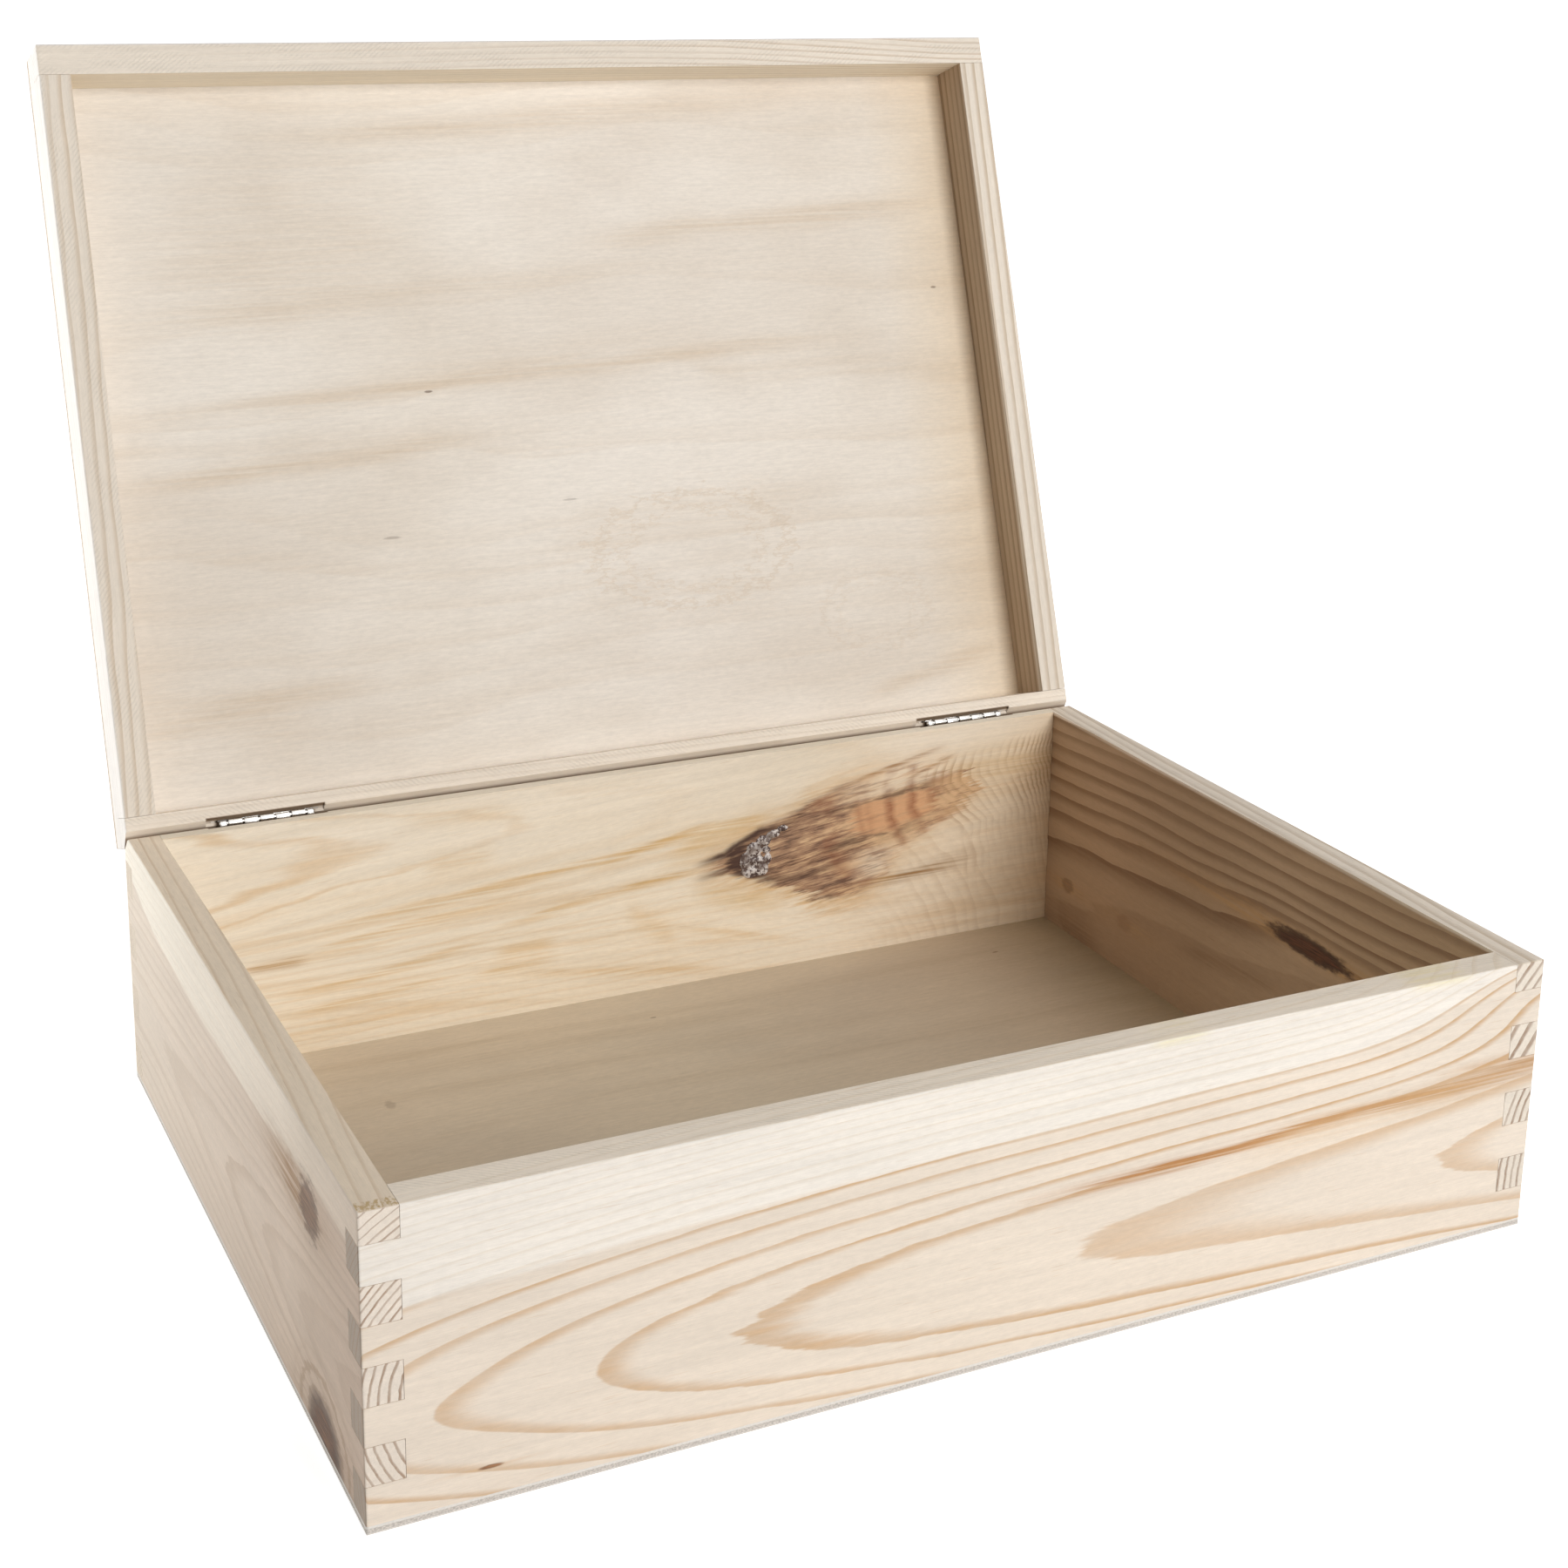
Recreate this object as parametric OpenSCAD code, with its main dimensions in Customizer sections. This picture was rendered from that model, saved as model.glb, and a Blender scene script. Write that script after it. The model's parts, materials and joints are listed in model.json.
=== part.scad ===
// Finger-jointed pine box for papers, with a hinged lid that stands open a little past upright.
// X runs left to right, Y front to back and Z up, in millimetres.
// The origin is the middle of the base sheet's underside.

/* [Box] */
// Outside width of the box, left to right
box_width = 350; // [280:1:460]
// Outside depth of the box, front to back
box_depth = 260; // [180:1:340]
// Thickness of the pine boards
board_thickness = 10; // [8:0.5:14]
// Height of the box walls above the base sheet
wall_height = 82; // [50:0.5:140]
// Thickness of the plywood base sheet
base_thickness = 2.5; // [2:0.5:6]

/* [Lid] */
// Height of the lid rails under the top sheet
rail_height = 18; // [14:0.5:40]
// Thickness of the plywood top sheet
top_thickness = 2.5; // [2:0.5:6]
// Gap between the two rims when the lid is shut
rim_gap = 0.3; // [0.1:0.05:0.6]
// Angle at which the lid stands open, counted from shut
open_angle = 109; // [96:1:112]

/* [Finger joints] */
// Height of one finger
finger_height = 10.5; // [6:0.5:16]
// Width of the glue line round a finger
glue_line = 0.1; // [0.04:0.02:0.3]

/* [Edges] */
// Radius of the sanded outer edges
edge_radius = 0.6; // [0.4:0.1:1.9]

/* [Hinge groove] */
// Distance of the hinge axis from the back face
axis_inset = 4; // [3.5:0.1:5]
// Slope of the two bevels along the back edge
bevel_slope = 45; // [40:1:50]
// Gap between the ends of the two bevels when the lid stands open
stop_gap = 0.3; // [0.2:0.05:0.6]

/* [Hinges] */
// Distance of a hinge's middle from the end of the box
hinge_inset = 45; // [34:1:90]
// Length of a hinge barrel
barrel_length = 31; // [24:0.5:36]
// Diameter of a hinge barrel
barrel_diameter = 2.4; // [2.2:0.1:3]
// Diameter of a hinge pin
pin_diameter = 1.2; // [0.8:0.1:1.4]
// Running clearance round a hinge pin, on the radius
pin_clearance = 0.05; // [0.02:0.01:0.1]
// Knuckles on the lid leaf, where the box leaf has one more
lid_knuckles = 3; // [1:1:4]
// Gap between neighbouring knuckles
knuckle_gap = 0.2; // [0.1:0.05:0.4]
// Thickness of a hinge leaf
leaf_thickness = 0.6; // [0.5:0.05:0.8]
// Reach of a hinge leaf into the wood, from the hinge axis
leaf_depth = 9.5; // [7:0.5:12]
// Radius of the saw blade that cuts the kerfs for the leaves
blade_radius = 24.5; // [20:0.5:30]
// Clearance round a leaf in its kerf
kerf_clearance = 0.05; // [0.02:0.01:0.15]
// Clearance round a barrel in its pocket, on the radius
pocket_clearance = 1; // [0.6:0.1:1.4]

/* [Hidden] */
$fn = 64;

// Heights of the two rims, and of the hinge axis halfway between them
box_rim_z = base_thickness + wall_height;
lid_rim_z = box_rim_z + rim_gap;
axis_z = box_rim_z + rim_gap / 2;
axis_y = box_depth / 2 - axis_inset;

// The lid opens until the ends of the bevels are the stop gap apart across the plane that halves the angle
bevel_end = axis_inset * tan(open_angle / 2) + stop_gap / 2 / cos(open_angle / 2);
bevel_drop = bevel_end - rim_gap / 2;
bevel_start_y = box_depth / 2 - bevel_drop / tan(bevel_slope);

// A leaf is rolled round the front of its barrel, so the kerf lies in front of the axis
barrel_radius = barrel_diameter / 2;
leaf_y = -(barrel_radius - leaf_thickness / 2);
leaf_top = barrel_radius + knuckle_gap;
knuckle_pitch = barrel_length / (2 * lid_knuckles);

// The blade's centre stands this far outside the wood, so its kerf runs out in an arc past the barrel
blade_offset = blade_radius - leaf_depth - kerf_clearance;
kerf_length = 2 * sqrt(blade_radius * blade_radius - blade_offset * blade_offset);
kerf_width = leaf_thickness + 2 * kerf_clearance;
pocket_radius = barrel_radius + pocket_clearance;

PINE = "#e2cba8";
PLYWOOD = "#d8bf9f";
STEEL = "#c4c6c8";

// Rectangle with sanded corners, from the origin
module sanded_rectangle(width, height) {
    translate([edge_radius, 0]) square([width - 2 * edge_radius, height]);
    translate([0, edge_radius]) square([width, height - 2 * edge_radius]);
    for (x = [edge_radius, width - edge_radius], y = [edge_radius, height - edge_radius])
        translate([x, y]) circle(r = edge_radius);
}

// Block of the box's width and depth with every outer edge sanded, standing on z = 0
module sanded_block(height) {
    intersection() {
        translate([-box_width / 2, -box_depth / 2, 0])
            linear_extrude(height) sanded_rectangle(box_width, box_depth);
        translate([-box_width / 2, box_depth / 2, 0])
            rotate([90, 0, 0]) linear_extrude(box_depth) sanded_rectangle(box_width, height);
        translate([-box_width / 2, -box_depth / 2, 0])
            rotate([90, 0, 90]) linear_extrude(box_width) sanded_rectangle(box_depth, height);
    }
}

// Board along X, standing on z = 0, with its neighbours' fingers cut out of both ends in every second row
module finger_board(length, height, first_cut) {
    cut_length = 2 * (board_thickness + glue_line);
    cut_height = finger_height + glue_line;
    difference() {
        translate([-length / 2, -board_thickness / 2, 0]) cube([length, board_thickness, height]);
        for (side = [-1, 1], row = [first_cut : 2 : ceil(height / finger_height) - 1])
            translate([side * length / 2, 0, (row + 0.5) * finger_height])
                cube([cut_length, 2 * board_thickness, cut_height], center = true);
    }
}

// Front board, or back board, of a frame of the given height
module long_board(side, height) {
    translate([0, side * (box_depth - board_thickness) / 2, 0])
        finger_board(box_width, height, 1);
}

// Left board, or right board, of a frame of the given height
module short_board(side, height) {
    translate([side * (box_width - board_thickness) / 2, 0, 0])
        rotate([0, 0, 90]) finger_board(box_depth, height, 0);
}

// Everything above the bevel that runs down from the box's rim to its back face, with the rim at z = 0
module above_bevel() {
    translate([0, bevel_start_y, 0]) rotate([-bevel_slope, 0, 0])
        translate([-box_width, -box_depth, 0]) cube([2 * box_width, 2 * box_depth, box_depth]);
}

// Kerf and pocket for one hinge leaf that reaches down from an axis along X at the origin
module hinge_cut() {
    translate([0, leaf_y, blade_offset])
        rotate([90, 0, 0]) cylinder(r = blade_radius, h = kerf_width, center = true);
    rotate([0, 90, 0]) cylinder(r = pocket_radius, h = kerf_length, center = true);
}

// Half-moon hinge leaf that reaches down from its knuckles, on an axis along X at the origin
module hinge_leaf(first_knuckle) {
    difference() {
        union() {
            intersection() {
                translate([0, leaf_y, blade_offset])
                    rotate([90, 0, 0])
                        cylinder(r = blade_radius - kerf_clearance, h = leaf_thickness, center = true);
                translate([-barrel_length / 2, -barrel_diameter, -leaf_top - blade_radius])
                    cube([barrel_length, 2 * barrel_diameter, blade_radius]);
            }
            for (place = [first_knuckle : 2 : 2 * lid_knuckles]) knuckle(place);
        }
        rotate([0, 90, 0])
            cylinder(d = pin_diameter + 2 * pin_clearance, h = 2 * barrel_length, center = true);
    }
}

// One rolled knuckle with its neck down to the leaf; the first and last are half as long
module knuckle(place) {
    start = max(-barrel_length / 2, (place - lid_knuckles - 0.5) * knuckle_pitch + knuckle_gap / 2);
    end = min(barrel_length / 2, (place - lid_knuckles + 0.5) * knuckle_pitch - knuckle_gap / 2);
    translate([start, 0, 0]) rotate([90, 0, 90]) linear_extrude(end - start) {
        circle(r = barrel_radius);
        translate([-barrel_radius, -leaf_top - leaf_thickness])
            square([leaf_thickness, leaf_top + leaf_thickness]);
    }
}

// Moves a child from the middle of a hinge axis to the left or right hinge
module at_hinge(side) {
    translate([side * (box_width / 2 - hinge_inset), axis_y, axis_z]) children();
}

// Swings a child of the shut lid open about the hinge axis
module swung_open() {
    translate([0, axis_y, axis_z]) rotate([-open_angle, 0, 0])
        translate([0, -axis_y, -axis_z]) children();
}

// Keeps what lies inside the sanded outline of the box
module within_box() {
    intersection() {
        children();
        sanded_block(box_rim_z);
    }
}

// Keeps what lies inside the sanded outline of the shut lid
module within_lid() {
    intersection() {
        children();
        translate([0, 0, lid_rim_z]) sanded_block(rail_height + top_thickness);
    }
}

module front_wall() {
    color(PINE) within_box() translate([0, 0, base_thickness]) long_board(-1, wall_height);
}

module back_wall() {
    color(PINE) difference() {
        within_box() translate([0, 0, base_thickness]) long_board(1, wall_height);
        translate([0, 0, box_rim_z]) above_bevel();
        for (side = [-1, 1]) at_hinge(side) hinge_cut();
    }
}

module side_wall(side) {
    color(PINE) difference() {
        within_box() translate([0, 0, base_thickness]) short_board(side, wall_height);
        translate([0, 0, box_rim_z]) above_bevel();
    }
}

module base_sheet() {
    color(PLYWOOD) within_box()
        translate([-box_width / 2, -box_depth / 2, 0]) cube([box_width, box_depth, base_thickness]);
}

module lid_front_rail() {
    color(PINE) swung_open() within_lid()
        translate([0, 0, lid_rim_z]) long_board(-1, rail_height);
}

module lid_back_rail() {
    color(PINE) swung_open() difference() {
        within_lid() translate([0, 0, lid_rim_z]) long_board(1, rail_height);
        translate([0, 0, lid_rim_z]) mirror([0, 0, 1]) above_bevel();
        for (side = [-1, 1]) at_hinge(side) mirror([0, 0, 1]) hinge_cut();
    }
}

module lid_side_rail(side) {
    color(PINE) swung_open() difference() {
        within_lid() translate([0, 0, lid_rim_z]) short_board(side, rail_height);
        translate([0, 0, lid_rim_z]) mirror([0, 0, 1]) above_bevel();
    }
}

module lid_top_sheet() {
    color(PLYWOOD) swung_open() within_lid()
        translate([-box_width / 2, -box_depth / 2, lid_rim_z + rail_height])
            cube([box_width, box_depth, top_thickness]);
}

module hinge_box_leaf(side) {
    color(STEEL) at_hinge(side) hinge_leaf(0);
}

module hinge_lid_leaf(side) {
    color(STEEL) swung_open() at_hinge(side) mirror([0, 0, 1]) hinge_leaf(1);
}

module hinge_pin(side) {
    color(STEEL) at_hinge(side) rotate([0, 90, 0])
        cylinder(d = pin_diameter, h = barrel_length, center = true);
}

front_wall();
back_wall();
side_wall(-1);  // left_wall
side_wall(1);  // right_wall
base_sheet();
lid_front_rail();
lid_back_rail();
lid_side_rail(-1);  // lid_left_rail
lid_side_rail(1);  // lid_right_rail
lid_top_sheet();
hinge_box_leaf(-1);  // left_hinge_box_leaf
hinge_lid_leaf(-1);  // left_hinge_lid_leaf
hinge_pin(-1);  // left_hinge_pin
hinge_box_leaf(1);  // right_hinge_box_leaf
hinge_lid_leaf(1);  // right_hinge_lid_leaf
hinge_pin(1);  // right_hinge_pin
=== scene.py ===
"""Looks of a finger-jointed pine box for papers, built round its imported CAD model.

Sizes in the classes are in millimetres. Blender's objects are in metres, in the CAD model's frame.
"""

from __future__ import annotations

import json
import logging
import math
from collections.abc import Callable
from dataclasses import dataclass, replace
from enum import Enum
from typing import Union

import bmesh
import bpy
from bpy.types import Material, Node, NodeSocket, NodeTree, Object
from mathutils import Matrix, Vector


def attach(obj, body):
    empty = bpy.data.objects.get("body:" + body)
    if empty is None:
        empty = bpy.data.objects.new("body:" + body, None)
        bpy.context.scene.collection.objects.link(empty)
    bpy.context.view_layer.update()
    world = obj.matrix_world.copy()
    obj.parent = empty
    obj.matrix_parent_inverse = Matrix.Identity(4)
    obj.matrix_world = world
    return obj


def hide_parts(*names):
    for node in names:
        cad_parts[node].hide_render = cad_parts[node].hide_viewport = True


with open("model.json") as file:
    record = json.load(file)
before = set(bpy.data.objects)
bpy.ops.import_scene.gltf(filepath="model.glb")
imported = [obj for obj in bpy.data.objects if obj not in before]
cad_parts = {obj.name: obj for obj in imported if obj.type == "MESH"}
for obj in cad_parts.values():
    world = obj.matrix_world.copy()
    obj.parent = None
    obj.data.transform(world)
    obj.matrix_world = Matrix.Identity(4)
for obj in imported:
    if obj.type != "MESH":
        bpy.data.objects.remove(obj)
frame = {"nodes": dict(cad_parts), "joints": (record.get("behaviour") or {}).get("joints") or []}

LOG = logging.getLogger("document_box")
MM = 0.001
METRE = 1000
PHOTO_SIDE = 1800
RELIEF = 0.2
MIX_FIRST = 6
MIX_SECOND = 7
MIX_RESULT = 2
RIGHT = Vector((1, 0, 0))
BACK = Vector((0, 1, 0))
UP = Vector((0, 0, 1))

Colour = tuple[float, float, float]
Points = tuple[tuple[float, float], ...]
# Colour points along a face, which paint light and shade on it.
LightRamp = tuple[tuple[float, Colour], ...]
Value = Union[float, tuple, NodeSocket, "Term"]


class Body(str, Enum):
    """The two bodies that the hinge joins."""

    BOX = "box"
    LID = "lid"


class Slot(str, Enum):
    """The record's material slots."""

    PINE = "pine"
    PLYWOOD = "plywood"
    STEEL = "hinge_steel"


class Side(Enum):
    """The left and right halves of the box."""

    LEFT = -1
    RIGHT = 1


class Leaf(Enum):
    """The two leaves of a hinge, by the way that they reach from the axis."""

    BOX = -1
    LID = 1


class Graph:
    """Adds and links nodes in one shader tree, so that a formula reads in order."""

    def __init__(self, tree: NodeTree) -> None:
        """Keeps the tree that nodes go into."""
        self.tree = tree

    def node(self, kind: str, *values: Value, **settings: object) -> Node:
        """Adds a node.

        Args:
            kind: Blender's name of the node type.
            values: What its first inputs are fed.
            settings: Properties to set on it.

        Returns:
            The new node.
        """
        made = self.tree.nodes.new(kind)
        for name, value in settings.items():
            setattr(made, name, value)
        for socket, value in zip(made.inputs, values):
            self.feed(socket, value)
        return made

    def feed(self, socket: NodeSocket, value: Value) -> None:
        """Links a socket to a source, or sets its constant.

        Args:
            socket: The input to fill.
            value: A term, a source socket, a number or a tuple.
        """
        if isinstance(value, Term):
            value = value.socket
        if isinstance(value, NodeSocket):
            self.tree.links.new(value, socket)
        else:
            socket.default_value = (*value, 1) if socket.type == "RGBA" else value

    def math(self, operation: str, *values: Value, clamp: bool = False) -> Term:
        """Adds a Math node and returns its result."""
        made = self.node("ShaderNodeMath", *values, operation=operation, use_clamp=clamp)
        return Term(self, made.outputs[0])

    def split(self, vector: NodeSocket) -> tuple[Term, ...]:
        """Returns the three parts of a vector."""
        return tuple(Term(self, part) for part in self.node("ShaderNodeSeparateXYZ", vector).outputs)

    def join(self, x: Value, y: Value, z: Value) -> NodeSocket:
        """Returns a vector of three parts."""
        return self.node("ShaderNodeCombineXYZ", x, y, z).outputs[0]

    def mix(self, factor: Value, first: Value, second: Value, blend: str = "MIX") -> NodeSocket:
        """Mixes two colours.

        Args:
            factor: Share of the second colour.
            first: Colour at factor 0.
            second: Colour at factor 1.
            blend: Blender's blend mode.

        Returns:
            The mixed colour.
        """
        made = self.node("ShaderNodeMix", factor, data_type="RGBA", blend_type=blend)
        self.feed(made.inputs[MIX_FIRST], first)
        self.feed(made.inputs[MIX_SECOND], second)
        return made.outputs[MIX_RESULT]

    def shade(self, colour: Value, level: Term) -> NodeSocket:
        """Multiplies a colour by a grey level."""
        return self.mix(1, colour, self.join(level, level, level), "MULTIPLY")

    def noise(self, place: NodeSocket, stretch: tuple, detail: float = 2, rough: float = 0.5) -> Term:
        """Reads 3-D noise at a place after stretching it.

        Args:
            place: Where the noise is read.
            stretch: Cells per unit on each axis.
            detail: Number of finer layers.
            rough: Weight of the finer layers.

        Returns:
            A number that varies round one half.
        """
        spot = self.node("ShaderNodeVectorMath", place, stretch, operation="MULTIPLY").outputs[0]
        return Term(self, self.node("ShaderNodeTexNoise", spot, 0, 1, detail, rough).outputs[0])

    def use(self, group: NodeTree, item: object = None, **values: Value) -> dict[str, Term]:
        """Places a node group.

        Args:
            group: The group's tree.
            item: Fills the other inputs from its fields of the same names.
            values: Inputs by name, in small letters.

        Returns:
            The group's outputs by name.
        """
        made = self.node("ShaderNodeGroup", node_tree=group)
        for socket in made.inputs:
            name = socket.name.lower()
            self.feed(socket, values[name] if name in values else getattr(item, name))
        return {socket.name: Term(self, socket) for socket in made.outputs}


class Term:
    """A number in a shader tree. A sum done with it adds a node."""

    def __init__(self, graph: Graph, socket: NodeSocket) -> None:
        """Keeps the graph and the socket that gives the number."""
        self.graph = graph
        self.socket = socket

    def math(self, operation: str, *others: Value, clamp: bool = False) -> Term:
        """Adds a Math node that starts with this number."""
        return self.graph.math(operation, self, *others, clamp=clamp)

    def __add__(self, other: Value) -> Term:
        """Returns the sum."""
        return self.math("ADD", other)

    def __sub__(self, other: Value) -> Term:
        """Returns the difference."""
        return self.math("SUBTRACT", other)

    def __rsub__(self, other: float) -> Term:
        """Returns the difference from a plain number."""
        return self.graph.math("SUBTRACT", other, self)

    def __mul__(self, other: Value) -> Term:
        """Returns the product."""
        return self.math("MULTIPLY", other)

    def __truediv__(self, other: Value) -> Term:
        """Returns the quotient."""
        return self.math("DIVIDE", other)

    def __abs__(self) -> Term:
        """Returns the number without its sign."""
        return self.math("ABSOLUTE")

    def most(self, other: Value) -> Term:
        """Returns the larger of two numbers."""
        return self.math("MAXIMUM", other)

    def least(self, other: Value) -> Term:
        """Returns the smaller of two numbers."""
        return self.math("MINIMUM", other)

    def hypot(self, other: Term) -> Term:
        """Returns the long side of a right-angled triangle with these two sides."""
        return (self * self + other * other).math("SQRT")

    def bell(self, middle: Value, width: Value) -> Term:
        """Returns 1 at the middle, fading over the width on both sides."""
        part = (self - middle) / width
        return (part * part * -1).math("EXPONENT")

    def step(self, low: Value, high: Value, start: Value = 0, end: Value = 1) -> Term:
        """Smoothly steps from start to end as the number goes from low to high.

        Args:
            low: Where the step begins.
            high: Where the step ends.
            start: The result at low.
            end: The result at high.

        Returns:
            The stepped number.
        """
        ends = (self, low, high, start, end)
        made = self.graph.node("ShaderNodeMapRange", *ends, interpolation_type="SMOOTHSTEP")
        return Term(self.graph, made.outputs[0])

    def way(self, points: tuple) -> tuple[Term, list[float]]:
        """Measures how far the number is on its way through some points.

        Args:
            points: Each with its input first, in rising order.

        Returns:
            The number's share of the way, and each point's.
        """
        start = points[0][0]
        reach = points[-1][0] - start
        share = (self - start).math("DIVIDE", reach, clamp=True)
        return share, [(point[0] - start) / reach for point in points]

    def curve(self, points: Points) -> Term:
        """Reads a curve of straight pieces through points.

        Args:
            points: Pairs of input and output, in rising order of input.

        Returns:
            The curve's output, held at both ends.
        """
        share, shares = self.way(points)
        low = min(y for _, y in points)
        span = max(y for _, y in points) - low or 1
        spots = [(x, (y - low) / span) for x, (_, y) in zip(shares, points)]
        made = self.graph.node("ShaderNodeFloatCurve", 1, share)
        line = made.mapping.curves[0].points
        line[0].location = spots[0]
        line[1].location = spots[-1]
        for spot in spots[1:-1]:
            line.new(*spot)
        for point in line:
            point.handle_type = "VECTOR"
        made.mapping.update()
        return Term(self.graph, made.outputs[0]) * span + low

    def ramp(self, points: LightRamp) -> NodeSocket:
        """Reads a ramp of colours.

        Args:
            points: Pairs of input and colour, in rising order of input.

        Returns:
            The ramp's colour, held at both ends.
        """
        share, shares = self.way(points)
        made = self.graph.node("ShaderNodeValToRGB", share)
        line = made.color_ramp.elements
        line[0].color = (*points[0][1], 1)
        line[1].color = (*points[-1][1], 1)
        for spot, (_, colour) in list(zip(shares, points))[1:-1]:
            line.new(spot).color = (*colour, 1)
        return made.outputs[0]


class GroupMaker:
    """Makes a shader node group of numbers. An input called Place is a vector."""

    def __init__(self, name: str, inputs: str, outputs: str) -> None:
        """Makes the group's tree and its sockets.

        Args:
            name: The group's name.
            inputs: Input names, with a space between them.
            outputs: Output names, with a space between them.
        """
        self.tree = bpy.data.node_groups.new(name, "ShaderNodeTree")
        for way, labels in (("INPUT", inputs), ("OUTPUT", outputs)):
            for label in labels.split():
                kind = "NodeSocketVector" if label == "Place" else "NodeSocketFloat"
                self.tree.interface.new_socket(name=label, in_out=way, socket_type=kind)
        self.graph = Graph(self.tree)
        start = self.graph.node("NodeGroupInput")
        self.place = start.outputs[0]
        self.given = [Term(self.graph, socket) for socket in start.outputs if socket.type == "VALUE"]
        self.end = self.graph.node("NodeGroupOutput")

    def offset(self, along: Term, across: Term) -> tuple[Term, Term]:
        """Returns how far the place lies from a spot on the board's face, along and across it."""
        x, y, _ = self.graph.split(self.place)
        return x - along, y - across

    def noise(self, *stretch: float, detail: float = 2, rough: float = 0.5) -> Term:
        """Reads noise at the place, with as many cells per unit across as inward."""
        return self.graph.noise(self.place, (*stretch, stretch[1]), detail, rough)

    def give(self, **values: Value) -> NodeTree:
        """Sets the group's outputs by name and returns its tree."""
        for name, value in values.items():
            self.graph.feed(self.end.inputs[name], value)
        return self.tree


def make_log_group() -> NodeTree:
    """Makes the group that measures how far a point lies from the pith of its log.

    Returns:
        The group. Place runs along, across and into the board.
    """
    inputs = "Place Pith Squeeze Wobble Tear Calm Depth0 Depth1 Depth2 Depth3"
    made = GroupMaker("log_radius", inputs, "Radius")
    pith, squeeze, wobble, tear, calm, *depths = made.given
    along, across, inward = made.graph.split(made.place)
    square = depths.pop()
    while depths:
        square = along / 100 * square + depths.pop()
    face = square.most(0.5).math("SQRT")
    still = (face - calm).step(-1.5, 1.5, 1, 0.12)
    depth = face + inward + (made.noise(0.03, 0.28, detail=4, rough=0.6) - 0.5) * tear * still
    radius = depth.hypot((across - pith) * squeeze)
    return made.give(Radius=(made.noise(0.012, 0.045) - 0.5) * wobble + radius)


def make_ring_group() -> NodeTree:
    """Makes the group that turns a ring number into the dark line at the end of each year.

    Returns:
        The group. Late is 1 in the dark line, and Year differs from ring to ring.
    """
    made = GroupMaker("year_ring", "Ring Early Fall", "Late Year")
    ring, early, fall = made.given
    part = ring.math("FRACT")
    chance = made.graph.node("ShaderNodeTexWhiteNoise", noise_dimensions="1D")
    made.graph.feed(chance.inputs["W"], ring.math("FLOOR"))
    late = part.step(early, fall - 0.03) * part.step(fall, 1, 1, 0)
    return made.give(Late=late, Year=chance.outputs["Value"])


def make_fibre_group() -> NodeTree:
    """Makes the group of fine fibre, soft streaks and short resin ducts along the grain.

    Returns:
        The group, whose outputs run from 0 to 1.
    """
    made = GroupMaker("wood_fibre", "Place", "Fine Streak Duct Cloud Fuzz")
    return made.give(
        Fine=made.noise(0.09, 4.2, detail=3, rough=0.65),
        Streak=made.noise(0.006, 0.33, detail=3, rough=0.55),
        Duct=made.noise(0.11, 2.6, detail=0).step(0.74, 0.82),
        Cloud=made.noise(0.014, 0.05),
        Fuzz=made.noise(0.28, 1, detail=4, rough=0.7),
    )


def make_swerve_group() -> NodeTree:
    """Makes the group of a soft bump on the board's face, where the grain swerves.

    Returns:
        The group. Bump is 1 in the middle and fades along and across the board.
    """
    made = GroupMaker("grain_swerve", "Place Along Across Reach Spread", "Bump")
    along, across, reach, spread = made.given
    x, y = made.offset(along, across)
    first = x / reach
    second = y / spread
    return made.give(Bump=((first * first + second * second) * -0.5).math("EXPONENT"))


def make_knot_group() -> NodeTree:
    """Makes the group of a round or oval knot that goes through a board.

    Returns:
        The group, with masks of the knot, its bark ring, the stain along the grain and the rings round it.
    """
    inputs = "Place Along Across Reach Spread Flow Ragged"
    made = GroupMaker("board_knot", inputs, "Core Bark Stain Ripple")
    along, across, reach, spread, flow, ragged = made.given
    x, y = made.offset(along, across)
    first = x / reach
    second = y / spread
    torn = made.noise(0.16, 0.42, detail=4, rough=0.65) - 0.5
    far = torn * ragged + first.hypot(second)
    stain = (first - flow).bell(0, 3.2) * (torn * 1.3 + second).bell(0, 0.95)
    fade = far.step(0.95, 1.2) * far.step(1.3, 2.3, 1, 0)
    return made.give(
        Core=far.step(0.6, 1.2, 1, 0),
        Bark=far.bell(0.85, 0.24),
        Stain=stain * made.noise(0.02, 0.75).step(0.38, 0.6, 0.35, 1),
        Ripple=(far * 13).math("SINE").step(0, 1) * fade,
    )


def make_saw_group() -> NodeTree:
    """Makes the group of fine saw marks that run slantwise over a sawn edge.

    Returns:
        The group. Mark runs from 0 to 1.
    """
    made = GroupMaker("saw_marks", "Place Slant", "Mark")
    along, _, inward = made.graph.split(made.place)
    phase = along * 3.2 + inward * made.given[0] + (made.noise(0.35, 0.9) - 0.5) * 6
    return made.give(Mark=phase.math("SINE").step(-0.4, 1) * made.noise(0.04, 0.25).step(0.35, 0.65))


def make_streak_group() -> NodeTree:
    """Makes the group of one straight streak on a face.

    Returns:
        The group. Mask is 1 along the streak's middle line.
    """
    made = GroupMaker("soft_streak", "Place Along Across Half Slope Width Soft", "Mask")
    along, across, half, slope, width, soft = made.given
    far, rise = made.offset(along, across)
    away = (rise - (far * slope + (made.noise(0.012, 0.05) - 0.5) * width * 2.6)) / width
    sheer = away.step(-1.5, 0.1) * away.step(0.15, 0.7, 1, 0)
    profile = sheer * (1 - soft) + away.bell(0, 1) * soft
    string = made.noise(0.012, 0.8, detail=3, rough=0.6).step(0.36, 0.62, 0.15, 1.25)
    string = (string - 0.7) * soft.step(0, 1, 1, 0.45) + 0.7
    return made.give(Mask=profile * (abs(far) / half).step(0.35, 1, 1, 0) * string)


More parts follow.
